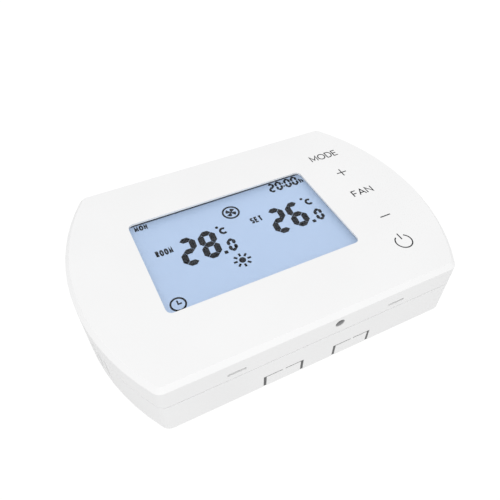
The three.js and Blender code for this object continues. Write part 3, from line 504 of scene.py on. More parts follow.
class Effect(Enum):
    """Shared surface effects, each a node group that is built once."""

    GRAIN = "fine_grain"
    WEAR = "edge_wear"
    DUST = "settled_dust"
    DRIFT = "tone_drift"
    BRUSHED = "brushed_lines"
    TRACES = "board_traces"

    def node(self, graph: Graph, **inputs: object) -> bpy.types.Node:
        """Places this effect's group in a graph with its own values.

        Args:
            graph: the material's graph.
            inputs: value of each named input.

        Returns:
            The group node.
        """
        tree = bpy.data.node_groups.get(self.value) or self._build()
        named = {key.replace("_", " ").title(): value for key, value in inputs.items()}
        return graph.add("ShaderNodeGroup", named, node_tree=tree)

    def _build(self) -> bpy.types.NodeTree:
        """Makes the group's tree with its sockets and fills it."""
        sockets = {
            Effect.GRAIN: (("Scale", 2500.0),), Effect.WEAR: (("Width", 0.0004), ("Amount", 1.0)),
            Effect.DUST: (("Amount", 0.3),), Effect.DRIFT: (("Scale", 60.0),),
            Effect.BRUSHED: (("Scale", 4000.0),), Effect.TRACES: (("Pitch", 700.0),),
        }
        outputs = {
            Effect.GRAIN: ("Height", "Tone"), Effect.WEAR: ("Mask",), Effect.DUST: ("Mask",),
            Effect.DRIFT: ("Tone",), Effect.BRUSHED: ("Height", "Tone"), Effect.TRACES: ("Copper", "Pads"),
        }
        tree = bpy.data.node_groups.new(self.value, "ShaderNodeTree")
        for name, value in sockets[self]:
            tree.interface.new_socket(
                name=name, in_out="INPUT", socket_type="NodeSocketFloat"
            ).default_value = value
        for name in outputs[self]:
            tree.interface.new_socket(name=name, in_out="OUTPUT", socket_type="NodeSocketFloat")
        graph = Graph(tree)
        given = graph.add("NodeGroupInput").outputs
        fill = {
            Effect.GRAIN: self._grain, Effect.WEAR: self._wear, Effect.DUST: self._dust,
            Effect.DRIFT: self._drift, Effect.BRUSHED: self._brushed, Effect.TRACES: self._traces,
        }
        graph.add("NodeGroupOutput", dict(enumerate(fill[self](graph, given))))
        return tree

    @staticmethod
    def _grain(graph: Graph, given: Sequence) -> tuple:
        """Spark-eroded grain: small round cells over a finer noise, with the noise as tone.

        Args:
            graph: the group's graph.
            given: sockets of the group's named inputs.

        Returns:
            The values that the group gives out.
        """
        where = graph.place()
        cells = graph.add(
            "ShaderNodeTexVoronoi", {"Vector": where, "Scale": given["Scale"]}, feature="SMOOTH_F1"
        )
        fine = graph.noise(where, graph.math("MULTIPLY", given["Scale"], 2.3))
        height = graph.math(
            "ADD", graph.math("MULTIPLY", cells.outputs["Distance"], 0.6), graph.math("MULTIPLY", fine, 0.5)
        )
        return height, fine

    @staticmethod
    def _wear(graph: Graph, given: Sequence) -> tuple:
        """Rubbed edges: where the rounded normal leaves the true one, broken up by noise.

        Args:
            graph: the group's graph.
            given: sockets of the group's named inputs.

        Returns:
            The values that the group gives out.
        """
        soft = graph.add("ShaderNodeBevel", {"Radius": given["Width"]}, samples=4).outputs[0]
        true = graph.add("ShaderNodeNewGeometry").outputs["Normal"]
        dot = graph.add("ShaderNodeVectorMath", {0: soft, 1: true}, operation="DOT_PRODUCT").outputs["Value"]
        edge = graph.ramp(dot, 0.995, 0.8)
        patchy = graph.ramp(graph.noise(graph.place(), 420.0, 5), 0.42, 0.66)
        return (graph.math("MULTIPLY", graph.math("MULTIPLY", edge, patchy), given["Amount"], clamp=True),)

    @staticmethod
    def _dust(graph: Graph, given: Sequence) -> tuple:
        """Dust on faces that look up, patchy.

        Args:
            graph: the group's graph.
            given: sockets of the group's named inputs.

        Returns:
            The values that the group gives out.
        """
        normal = graph.add("ShaderNodeNewGeometry").outputs["Normal"]
        up = graph.add("ShaderNodeSeparateXYZ", {0: normal}).outputs["Z"]
        lying = graph.ramp(up, 0.3, 0.95)
        patchy = graph.ramp(graph.noise(graph.place(), 180.0, 6, 0.65), 0.35, 0.75)
        return (graph.math("MULTIPLY", graph.math("MULTIPLY", lying, patchy), given["Amount"], clamp=True),)

    @staticmethod
    def _drift(graph: Graph, given: Sequence) -> tuple:
        """Slow drift of tone across a piece."""
        return (graph.noise(graph.place(), given["Scale"], 2, 0.5),)

    @staticmethod
    def _brushed(graph: Graph, given: Sequence) -> tuple:
        """Fine lines along one direction, as rolled or turned metal shows.

        Args:
            graph: the group's graph.
            given: sockets of the group's named inputs.

        Returns:
            The values that the group gives out.
        """
        lines = graph.noise(graph.place((0.06, 1, 1)), given["Scale"], 3)
        marks = graph.noise(graph.place((1, 1, 0.2)), graph.math("MULTIPLY", given["Scale"], 0.4), 4)
        return graph.math(
            "ADD", graph.math("MULTIPLY", lines, 0.7), graph.math("MULTIPLY", marks, 0.3)
        ), lines

    @staticmethod
    def _traces(graph: Graph, given: Sequence) -> tuple:
        """Tracks, square or at 45 degrees: edges of Manhattan cells, with round vias at their centres.

        Args:
            graph: the group's graph.
            given: sockets of the group's named inputs.

        Returns:
            The values that the group gives out.
        """
        where = graph.add(
            "ShaderNodeVectorMath", {0: graph.place(), 1: (1.0, 0.0, 1.0)}, operation="MULTIPLY"
        ).outputs[0]
        cells = graph.add(
            "ShaderNodeTexVoronoi", {"Vector": where, "Scale": given["Pitch"], "Randomness": 0.75},
            distance="MANHATTAN", voronoi_dimensions="3D"
        )
        second = graph.add(
            "ShaderNodeTexVoronoi", {"Vector": where, "Scale": given["Pitch"], "Randomness": 0.75},
            distance="MANHATTAN", feature="F2", voronoi_dimensions="3D"
        )
        gap = graph.math("SUBTRACT", second.outputs["Distance"], cells.outputs["Distance"])
        copper = graph.ramp(gap, 0.22, 0.3)
        pads = graph.ramp(cells.outputs["Distance"], 0.1, 0.07)
        return copper, pads


# ---------- Finishes ----------


@dataclass(frozen=True)
class Finish:
    """A finish with a colour (linear red, green and blue) and a roughness."""

    name: str
    colour: Colour
    roughness: float = 0.5

    def material(self) -> bpy.types.Material:
        """Returns the finish's material, made the first time it is asked for."""
        title = f"finish_{self.name}"
        found = bpy.data.materials.get(title)
        if found:
            return found
        made = bpy.data.materials.new(title)
        made.use_nodes = True
        graph = Graph(made.node_tree)
        shader = made.node_tree.nodes["Principled BSDF"]
        shader.inputs["Base Color"].default_value = (*self.colour, 1)
        shader.inputs["Roughness"].default_value = self.roughness
        self.shade(graph, shader)
        return made

    def shade(self, graph: Graph, shader: bpy.types.Node) -> None:
        """Adds the finish's own detail to the shader; each kind of finish has its own."""

    def surface(
        self, graph: Graph, shader: bpy.types.Node, colour: object, rough: object, height: object,
        depth: float
    ) -> None:
        """Links colour, roughness and a bump of a depth in metres into the shader.

        Args:
            graph: the material's graph.
            shader: its Principled node.
            colour: colour output.
            rough: roughness output.
            height: height output, 0 to 1.
            depth: how deep the height reaches, in metres.
        """
        bump = graph.add("ShaderNodeBump", {"Strength": 1.0, "Distance": depth, "Height": height})
        graph.tree.links.new(colour, shader.inputs["Base Color"])
        graph.tree.links.new(rough, shader.inputs["Roughness"])
        graph.tree.links.new(bump.outputs[0], shader.inputs["Normal"])

    def scaled(self, factor: float) -> Colour:
        """The finish's colour made lighter or darker, held below white."""
        return tuple(min(1.0, part * factor) for part in self.colour)


@dataclass(frozen=True)
class MouldedPlastic(Finish):
    """Injection-moulded plastic: fine spark-eroded grain, slow tone drift, rubbed edges and dust."""

    grain: float = 2600.0
    depth: float = 0.000012
    wear: float = 0.25
    dust: float = 0.15
    dust_colour: Colour = (0.55, 0.52, 0.47)

    def shade(self, graph: Graph, shader: bpy.types.Node) -> None:
        """Grain drives the bump and roughness; drift, wear and dust move the colour.

        Args:
            graph: the material's graph.
            shader: its Principled shader.
        """
        grain = Effect.GRAIN.node(graph, scale=self.grain)
        drift = Effect.DRIFT.node(graph, scale=35.0).outputs[0]
        wear = Effect.WEAR.node(graph, width=0.00035, amount=self.wear).outputs[0]
        dust = Effect.DUST.node(graph, amount=self.dust).outputs[0]
        base = graph.mix(graph.ramp(drift, 0.3, 0.7), self.scaled(0.985), self.scaled(1.01))
        speck = graph.mix(graph.ramp(grain.outputs[1], 0.3, 0.75, 0.0, 0.35), base, self.scaled(0.96))
        worn = graph.mix(wear, speck, self.scaled(1.12))
        dusty = graph.mix(dust, worn, self.dust_colour)
        rough = graph.ramp(grain.outputs[0], 0.2, 0.9, self.roughness - 0.06, self.roughness + 0.07)
        shiny = graph.math("SUBTRACT", rough, graph.math("MULTIPLY", wear, 0.12))
        dull = graph.math("ADD", shiny, graph.math("MULTIPLY", dust, 0.3))
        self.surface(graph, shader, dusty, dull, grain.outputs[0], self.depth)
        shader.inputs["IOR"].default_value = 1.5


@dataclass(frozen=True)
class ClearPane(Finish):
    """A clear pane: nearly see-through, more of a mirror at a slant, with hairline scratches."""

    veil: float = 0.004
    haze: float = 0.02

    def shade(self, graph: Graph, shader: bpy.types.Node) -> None:
        """Fresnel adds to the alpha; scratches add a little roughness and bump.

        Args:
            graph: the material's graph.
            shader: its Principled shader.
        """
        lines = Effect.BRUSHED.node(graph, scale=900.0)
        hair = graph.ramp(lines.outputs[1], 0.62, 0.7)
        slant = graph.add("ShaderNodeFresnel", {"IOR": 1.49}).outputs[0]
        outer = graph.math("SUBTRACT", 1.0, graph.add("ShaderNodeNewGeometry").outputs["Backfacing"])
        mirror = graph.math("MULTIPLY", graph.math("MULTIPLY", slant, 0.2), outer)
        alpha = graph.math("ADD", mirror, graph.math("MULTIPLY", outer, self.veil), clamp=True)
        film = graph.math(
            "ADD", alpha, graph.math("MULTIPLY", graph.math("MULTIPLY", hair, outer), self.haze), clamp=True
        )
        rough = graph.math("ADD", graph.math("MULTIPLY", hair, 0.12), self.roughness)
        colour = graph.mix(graph.math("MULTIPLY", hair, 0.3), self.colour, (0.9, 0.93, 0.97))
        self.surface(graph, shader, colour, rough, hair, 0.0000015)
        graph.tree.links.new(film, shader.inputs["Alpha"])
        shader.inputs["IOR"].default_value = 1.49


@dataclass(frozen=True)
class LitGlass(Finish):
    """The lit rear plate of the display: a soft even glow with the guide's faint mottle."""

    glow: Colour = (0.42, 0.54, 0.74)
    strength: float = 0.635

    def shade(self, graph: Graph, shader: bpy.types.Node) -> None:
        """A dot pattern and slow drift modulate the glow and the colour.

        Args:
            graph: the material's graph.
            shader: its Principled shader.
        """
        dots = graph.add(
            "ShaderNodeTexVoronoi", {"Vector": graph.place((1, 0, 1)), "Scale": 1900.0}, feature="SMOOTH_F1"
        )
        drift = Effect.DRIFT.node(graph, scale=28.0).outputs[0]
        spread = graph.math("ADD", graph.math("MULTIPLY", dots.outputs["Distance"], 0.25), drift)
        tone = graph.ramp(spread, 0.35, 0.95)
        colour = graph.mix(tone, self.scaled(0.985), self.scaled(1.015))
        rough = graph.ramp(drift, 0.3, 0.7, self.roughness - 0.03, self.roughness + 0.03)
        glow = graph.mix(tone, tuple(c * 0.985 for c in self.glow), tuple(c * 1.015 for c in self.glow))
        self.surface(graph, shader, colour, rough, dots.outputs["Distance"], 0.000002)
        graph.tree.links.new(glow, shader.inputs["Emission Color"])
        shader.inputs["Emission Strength"].default_value = self.strength


@dataclass(frozen=True)
class Ink(Finish):
    """A thin printed or switched film: slightly mottled, with a fine stipple."""

    mottle: float = 0.12

    def shade(self, graph: Graph, shader: bpy.types.Node) -> None:
        """Fine noise lightens the film where it is thin.

        Args:
            graph: the material's graph.
            shader: its Principled shader.
        """
        grain = Effect.GRAIN.node(graph, scale=5200.0)
        thin = graph.ramp(grain.outputs[1], 0.4, 0.8, 0.0, self.mottle)
        colour = graph.mix(thin, self.colour, (0.5, 0.5, 0.52))
        rough = graph.ramp(grain.outputs[0], 0.2, 0.9, self.roughness - 0.05, self.roughness + 0.05)
        self.surface(graph, shader, colour, rough, grain.outputs[0], 0.000003)
        shader.inputs["Specular IOR Level"].default_value = 0.15


@dataclass(frozen=True)
class PlatedMetal(Finish):
    """Plated, turned or rolled metal: fine lines, tarnish patches and bright edges."""

    lines: float = 5200.0
    tarnish: Colour = (0.32, 0.3, 0.27)
    dullness: float = 0.35

    def shade(self, graph: Graph, shader: bpy.types.Node) -> None:
        """Lines drive the bump, patches dull the colour and edges stay bright.

        Args:
            graph: the material's graph.
            shader: its Principled shader.
        """
        lines = Effect.BRUSHED.node(graph, scale=self.lines)
        drift = Effect.DRIFT.node(graph, scale=320.0).outputs[0]
        edge = Effect.WEAR.node(graph, width=0.00015, amount=0.8).outputs[0]
        dulled = graph.mix(graph.ramp(drift, 0.48, 0.72, 0.0, self.dullness), self.colour, self.tarnish)
        lined = graph.mix(graph.ramp(lines.outputs[1], 0.4, 0.7, 0.0, 0.25), dulled, self.scaled(0.8))
        bright = graph.mix(edge, lined, self.scaled(1.2))
        rough = graph.math(
            "ADD", graph.ramp(drift, 0.3, 0.7, self.roughness - 0.05, self.roughness + 0.12),
            graph.math("MULTIPLY", edge, -0.08)
        )
        self.surface(graph, shader, bright, rough, lines.outputs[0], 0.000004)
        shader.inputs["Metallic"].default_value = 1.0


@dataclass(frozen=True)
class BoardLaminate(Finish):
    """Glass-epoxy board under solder resist: tracks stand out as a lighter green, vias as tin."""

    track: Colour = (0.02, 0.2, 0.08)
    tin: Colour = (0.6, 0.6, 0.57)

    def shade(self, graph: Graph, shader: bpy.types.Node) -> None:
        """Tracks raise the resist and lighten it, vias show tin, and cut edges show bare laminate.

        Args:
            graph: the material's graph.
            shader: its Principled shader.
        """
        tracks = Effect.TRACES.node(graph, pitch=330.0)
        weave = Effect.GRAIN.node(graph, scale=3200.0)
        normal = graph.add("ShaderNodeNewGeometry").outputs["Normal"]
        facing = graph.add("ShaderNodeSeparateXYZ", {0: normal}).outputs["Y"]
        cut = graph.ramp(graph.math("ABSOLUTE", facing), 0.6, 0.4)
        base = graph.mix(tracks.outputs["Copper"], self.track, self.colour)
        mottled = graph.mix(graph.ramp(weave.outputs[1], 0.35, 0.75, 0.0, 0.3), base, self.scaled(0.7))
        vias = graph.mix(tracks.outputs["Pads"], mottled, self.tin)
        colour = graph.mix(cut, vias, (0.42, 0.38, 0.2))
        rough = graph.math(
            "ADD", graph.ramp(weave.outputs[0], 0.2, 0.9, self.roughness - 0.05, self.roughness + 0.05),
            graph.math("MULTIPLY", cut, 0.3)
        )
        height = graph.math("SUBTRACT", 1.0, tracks.outputs["Copper"])
        self.surface(graph, shader, colour, rough, height, 0.00003)
        shader.inputs["Coat Weight"].default_value = 0.3


@dataclass(frozen=True)
class BandedRubber(Finish):
    """Contact strip: thin dark conducting bands between pale silicone ones."""

    band: Colour = (0.02, 0.02, 0.022)

    def shade(self, graph: Graph, shader: bpy.types.Node) -> None:
        """A wave along X makes the bands; fine grain roughens them.

        Args:
            graph: the material's graph.
            shader: its Principled shader.
        """
        wave = graph.add(
            "ShaderNodeTexWave", {"Vector": graph.place(), "Scale": 620.0, "Distortion": 0.3},
            wave_type="BANDS", bands_direction="X"
        )
        grain = Effect.GRAIN.node(graph, scale=4000.0)
        mask = graph.ramp(wave.outputs[1], 0.4, 0.6)
        colour = graph.mix(mask, self.band, self.colour)
        rough = graph.ramp(grain.outputs[0], 0.2, 0.9, self.roughness - 0.08, self.roughness + 0.08)
        self.surface(graph, shader, colour, rough, mask, 0.00002)


@dataclass(frozen=True)
class DippedCoat(Finish):
    """A dipped, cast or shrunk coat: glossy with a soft orange peel and fine pits."""

    peel: float = 900.0
    depth: float = 0.00002

    def shade(self, graph: Graph, shader: bpy.types.Node) -> None:
        """Slow noise gives the orange peel, and edges and high spots are a little lighter.

        Args:
            graph: the material's graph.
            shader: its Principled shader.
        """
        peel = graph.noise(graph.place(), self.peel, 2, 0.45)
        grain = Effect.GRAIN.node(graph, scale=4200.0)
        edge = Effect.WEAR.node(graph, width=0.0003, amount=0.35).outputs[0]
        dust = Effect.DUST.node(graph, amount=0.25).outputs[0]
        base = graph.mix(graph.ramp(peel, 0.3, 0.7), self.scaled(0.85), self.scaled(1.1))
        edged = graph.mix(edge, base, self.scaled(1.6))
        colour = graph.mix(dust, edged, (0.4, 0.38, 0.34))
        rough = graph.ramp(grain.outputs[0], 0.2, 0.9, self.roughness - 0.04, self.roughness + 0.08)
        height = graph.math(
            "ADD", graph.math("MULTIPLY", peel, 0.8), graph.math("MULTIPLY", grain.outputs[0], 0.2)
        )
        self.surface(graph, shader, colour, rough, height, self.depth)


HOUSING_WHITE = MouldedPlastic("housing_white", (0.86, 0.86, 0.862), 0.44)
# The latches' dark grey is painted shade: it darkens the latch slots in the front cover.
LATCH_SHADE_GREY = MouldedPlastic("latch_painted_shade", (0.28, 0.28, 0.285), 0.4)
BLACK_NYLON = MouldedPlastic(
    "black_nylon", (0.018, 0.018, 0.02), 0.42, grain=3400.0, wear=0.2, dust_colour=(0.12, 0.115, 0.11)
)
RELAY_BLUE = MouldedPlastic("relay_blue", (0.016, 0.08, 0.3), 0.33, grain=3400.0, wear=0.2)
TERMINAL_GREEN = MouldedPlastic("terminal_green", (0.02, 0.24, 0.06), 0.38, grain=3400.0, wear=0.2)
LENS_CLEAR = ClearPane("lens_clear", (0.8, 0.86, 0.95), 0.05)
GLASS_CLEAR = ClearPane("glass_clear", (0.75, 0.84, 0.95), 0.03, haze=0.0)
LIT_PLATE = LitGlass("lit_plate", (0.2, 0.26, 0.36), 0.35)
GUIDE_ACRYLIC = LitGlass("guide_acrylic", (0.75, 0.8, 0.86), 0.2, glow=(0.8, 0.88, 1.0), strength=0.25)
SEGMENT_DARK = Ink("segment_dark", (0.006, 0.006, 0.008), 0.4, mottle=0.015)
SEGMENT_SEAL = Ink("cell_seal_grey", (0.2, 0.24, 0.32), 0.5, mottle=0.1)
LEGEND_GREY = Ink("legend_grey", (0.018, 0.019, 0.021), 0.5)
BOARD_WHITE = Ink("board_white", (0.78, 0.78, 0.74), 0.55, mottle=0.3)
ZINC = PlatedMetal("zinc", (0.66, 0.67, 0.7), 0.3)
# Grey of the sleeve in the lock hole: painted shade on the hole's walls.
SHADE_SLEEVE_GREY = MouldedPlastic("sleeve_painted_shade", (0.42, 0.42, 0.425), 0.5)
# Near-black grey of the plates in the knock-out slots: painted shade inside the slots.
SHADE_WEB_GREY = MouldedPlastic("web_painted_shade", (0.12, 0.12, 0.122), 0.6, wear=0.05)
DARK_ZINC = PlatedMetal("dark_zinc", (0.1, 0.1, 0.11), 0.4)
BRIGHT_STEEL = PlatedMetal("bright_steel", (0.72, 0.71, 0.69), 0.22, lines=3600.0)
GOLD_FLASH = PlatedMetal("gold_flash", (0.9, 0.66, 0.28), 0.25)
SOLDER = PlatedMetal("solder", (0.66, 0.66, 0.64), 0.28, lines=2000.0)
SPRING_STEEL = PlatedMetal("spring_steel", (0.7, 0.66, 0.56), 0.25)
BOARD_GREEN = BoardLaminate("board_green", (0.008, 0.09, 0.035), 0.35)
STRIP_RUBBER = BandedRubber("strip_rubber", (0.62, 0.6, 0.56), 0.6)
CAN_SLEEVE = DippedCoat("can_sleeve", (0.012, 0.013, 0.02), 0.28)
FILM_YELLOW = DippedCoat("film_yellow", (0.75, 0.42, 0.03), 0.3)
DISC_BLUE = DippedCoat("disc_blue", (0.02, 0.1, 0.36), 0.25, depth=0.00005)
CHIP_TAN = DippedCoat("chip_tan", (0.42, 0.27, 0.14), 0.4)
CHIP_BLACK = DippedCoat("chip_black", (0.02, 0.02, 0.022), 0.45)


# ---------- Shared workshop steps ----------


def dress(
    names: Sequence[str], finish: Finish, edge: float = 0.12, steps: int = 2, merge: bool = True
) -> None:
    """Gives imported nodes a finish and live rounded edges; their meshes stay as they are.

    Args:
        names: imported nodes.
        finish: what they are dressed in.
        edge: radius of the rounded edges in mm.
        steps: facets across a rounded edge.
        merge: whether flat neighbours become one face first.
    """
    for name in names:
        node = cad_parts[name]
        mesh = node.data
        for spare in ("custom_normal", "sharp_edge", "sharp_face"):
            if spare in mesh.attributes:
                mesh.attributes.remove(mesh.attributes[spare])
        mesh.shade_smooth()
        mesh.materials.clear()
        mesh.materials.append(finish.material())
        weld = node.modifiers.new("weld", "WELD")
        weld.merge_threshold = 1e-6
        if merge:
            flat = node.modifiers.new("flat", "DECIMATE")
            flat.decimate_type, flat.angle_limit = "DISSOLVE", math.radians(0.5)
        round_off = node.modifiers.new("edges", "BEVEL")
        round_off.width, round_off.segments = edge * MM, steps
        round_off.limit_method, round_off.angle_limit = "ANGLE", math.radians(32)
        round_off.harden_normals = True
        LOG.info("%s: dressed in %s", name, finish.name)


def box_of(name: str) -> tuple[Array, Array]:
    """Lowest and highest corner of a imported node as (X, out, Z) in mm; out is the distance from the wall."""
    low, high = (np.array(corner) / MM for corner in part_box(name))
    return np.array([low[0], -high[1], low[2]]), np.array([high[0], -low[1], high[2]])


def middle(name: str) -> Array:
    """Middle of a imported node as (X, out, Z) in mm."""
    low, high = box_of(name)
    return (low + high) / 2


# ---------- Lettering and digits ----------


@dataclass(frozen=True)
class Lettering:
    """Single-line capitals, each a few strokes in a cell one high, and seven-segment digits."""

    gap: float = 0.11

    def shapes(self, letter: str) -> tuple[float, list[Array]]:
        """Width and strokes of a letter; curves are elliptical arcs.

        Args:
            letter: capital or small h.

        Returns:
            The width of the letter and its strokes.
        """
        table = {
            "A": (0.84, [straight((0, 0), (0.42, 1), (0.84, 0)), straight((0.16, 0.34), (0.68, 0.34))]),
            "C": (0.8, [bow(0.48, 0.5, 0.48, 0.5, 48, 312, 18)]),
            "D": (
                0.78,
                [
                    np.vstack(
                        [
                            straight((0, 0), (0, 1), (0.3, 1)), bow(0.3, 0.5, 0.48, 0.5, 78, -78, 14),
                            straight((0.3, 0), (0, 0))
                        ]
                    )
                ]
            ),
            "E": (0.6, [straight((0.6, 1), (0, 1), (0, 0), (0.6, 0)), straight((0, 0.52), (0.52, 0.52))]),
            "F": (0.56, [straight((0, 0), (0, 1), (0.56, 1)), straight((0, 0.5), (0.5, 0.5))]),
            "M": (0.92, [straight((0, 0), (0, 1), (0.46, 0.22), (0.92, 1), (0.92, 0))]),
            "N": (0.74, [straight((0, 0), (0, 1), (0.74, 0), (0.74, 1))]),
            "O": (0.98, [bow(0.49, 0.5, 0.49, 0.5, 90, 450, 25)]),
            "R": (
                0.64,
                [
                    np.vstack(
                        [
                            straight((0, 0), (0, 1), (0.34, 1)), bow(0.34, 0.75, 0.27, 0.25, 75, -75, 8),
                            straight((0.34, 0.5), (0, 0.5))
                        ]
                    ),
                    straight((0.3, 0.5), (0.64, 0))
                ]
            ),
            "S": (
                0.6,
                [
                    np.vstack(
                        [bow(0.3, 0.75, 0.28, 0.25, 25, 250, 10), bow(0.3, 0.25, 0.3, 0.25, 70, -155, 10)]
                    )
                ]
            ),
            "T": (0.68, [straight((0, 1), (0.68, 1)), straight((0.34, 1), (0.34, 0))]),
            "h": (
                0.5,
                [
                    straight((0, 0), (0, 1)),
                    np.vstack([bow(0.25, 0.4, 0.25, 0.22, 170, 0, 8), straight((0.5, 0))])
                ]
            ),
        }
        return table[letter]

    def word(
        self, text: str, left: float, right: float, low: float, high: float, line: float,
        levels: tuple[float, float]
    ) -> Surface:
        """Letters spread evenly from left to right between two heights.

        Args:
            text: letters to draw.
            left: X of the first letter's left side.
            right: X of the last letter's right side.
            low: Z of the foot.
            high: Z of the top.
            line: width of the strokes.
            levels: how far out the film starts and ends.

        Returns:
            The word as flat strokes, still lying in its own plane.
        """
        tall, room = high - low - line, right - left - line
        widths = np.array([self.shapes(letter)[0] for letter in text])
        space = line + self.gap * tall * (len(text) > 1)
        wide = (room - space * (len(text) - 1)) / widths.sum()
        starts = left + line / 2 + np.concatenate([[0], np.cumsum(widths[:-1] * wide + space)])
        strokes = [
            stroke(path * np.array([wide, tall]) + np.array([start, low + line / 2]), line, *levels)
            for letter, start in zip(text, starts)
            for path in self.shapes(letter)[1]
        ]
        return Surface.joined(strokes)

    def segments(self, digit: int) -> str:
        """Which of the seven segments, a to g, are on for a digit."""
        return (
            "abcdef", "bc", "abdeg", "abcdg", "bcfg", "acdfg", "acdefg", "abc", "abcdefg", "abcdfg"
        )[digit]

    def digit(
        self, value: int, left: float, low: float, width: float, height: float, bar: float,
        levels: tuple[float, float]
    ) -> Surface:
        """A seven-segment digit: six-sided bars with small gaps, leaning right by 5 degrees.

        Args:
            value: the digit.
            left: X of the cell's left side.
            low: Z of the foot.
            width: width of the cell.
            height: height of the cell.
            bar: thickness of a bar.
            levels: how far out the film starts and ends.

        Returns:
            The digit as flat plates: x = left + u + tan(5 degrees) times v, z = low + v.
        """
        half, gap = bar / 2, bar * 0.05
        ends = {
            "a": ((half, height - half), (width - half, height - half)),
            "b": ((width - half, height - half), (width - half, height / 2)),
            "c": ((width - half, height / 2), (width - half, half)),
            "d": ((half, half), (width - half, half)),
            "e": ((half, half), (half, height / 2)), "f": ((half, height / 2), (half, height - half)),
            "g": ((half, height / 2), (width - half, height / 2)),
        }
        plates = []
        for name in self.segments(value):
            start, stop = (np.array(point, float) for point in ends[name])
            along = (stop - start) / np.linalg.norm(stop - start)
            start, stop = start + along * gap, stop - along * gap
            side = np.array([-along[1], along[0]]) * half
            outline = np.array(
                [
                    start, start + along * half + side, stop - along * half + side, stop,
                    stop - along * half - side, start + along * half - side
                ]
            )
            lean = outline[:, 0] + math.tan(math.radians(5)) * outline[:, 1]
            plates.append(polygon_plate(np.column_stack([left + lean, low + outline[:, 1]]), *levels))
        return Surface.joined(plates)


# ---------- Sub-assemblies ----------


@dataclass
class FrontCover:
    """The front shell with its printed touch-key legends."""

    face: float = 23.3
    film: float = 0.03
    line: float = 0.45
    lettering: Lettering = field(default_factory=Lettering)

    def build(self) -> None:
        """Dresses the shell and prints the five legends."""
        dress(["front_cover"], HOUSING_WHITE, 0.16, 3, merge=False)
        levels = (self.face - 0.05, self.face + self.film)
        words = self.lettering
        self.print_legend("legend_mode", words.word("MODE", 37.2, 49.6, 23.6, 27.2, self.line, levels))
        self.print_legend("legend_fan", words.word("FAN", 40.4, 49.2, -1.5, 1.9, self.line, levels))
        self.print_legend("legend_plus", self.plus(44.1, 13.2, 2.1, levels))
        self.print_legend(
            "legend_minus", stroke(np.array([[42.3, -14.6], [46.5, -14.6]]), self.line, *levels)
        )
        self.print_legend("legend_power", self.power(42.4, -27.7, 2.95, levels))

    def print_legend(self, name: str, shape: Surface) -> None:
        """Lays a legend on the face; its local height is the distance out."""
        shape.set_at(0, 0, 0).make(name, LEGEND_GREY, "cover", "black_moulding")

    def plus(self, x: float, z: float, arm: float, levels: tuple[float, float]) -> Surface:
        """Two strokes that cross, as one outline of twelve corners.

        Args:
            x: X of the middle.
            z: Z of the middle.
            arm: length of an arm from the middle.
            levels: how far out the film starts and ends.

        Returns:
            The closed outline as a plate.
        """
        half = self.line / 2
        corner = np.array([[arm, half], [half, half], [half, arm]])
        turn = np.array([[[1, 0], [0, 1]], [[0, 1], [-1, 0]], [[-1, 0], [0, -1]], [[0, -1], [1, 0]]], float)
        outline = np.concatenate([corner @ t for t in turn]) + np.array([x, z])
        return polygon_plate(outline, *levels)

    def power(self, x: float, z: float, radius: float, levels: tuple[float, float]) -> Surface:
        """An open ring and the bar that stands in its gap."""
        ring = stroke(bow(x, z, radius, radius, 122, 418, 40), self.line, *levels)
        bar = stroke(np.array([[x, z + 1.0], [x, z + 3.9]]), self.line, *levels)
        return Surface.joined([ring, bar])


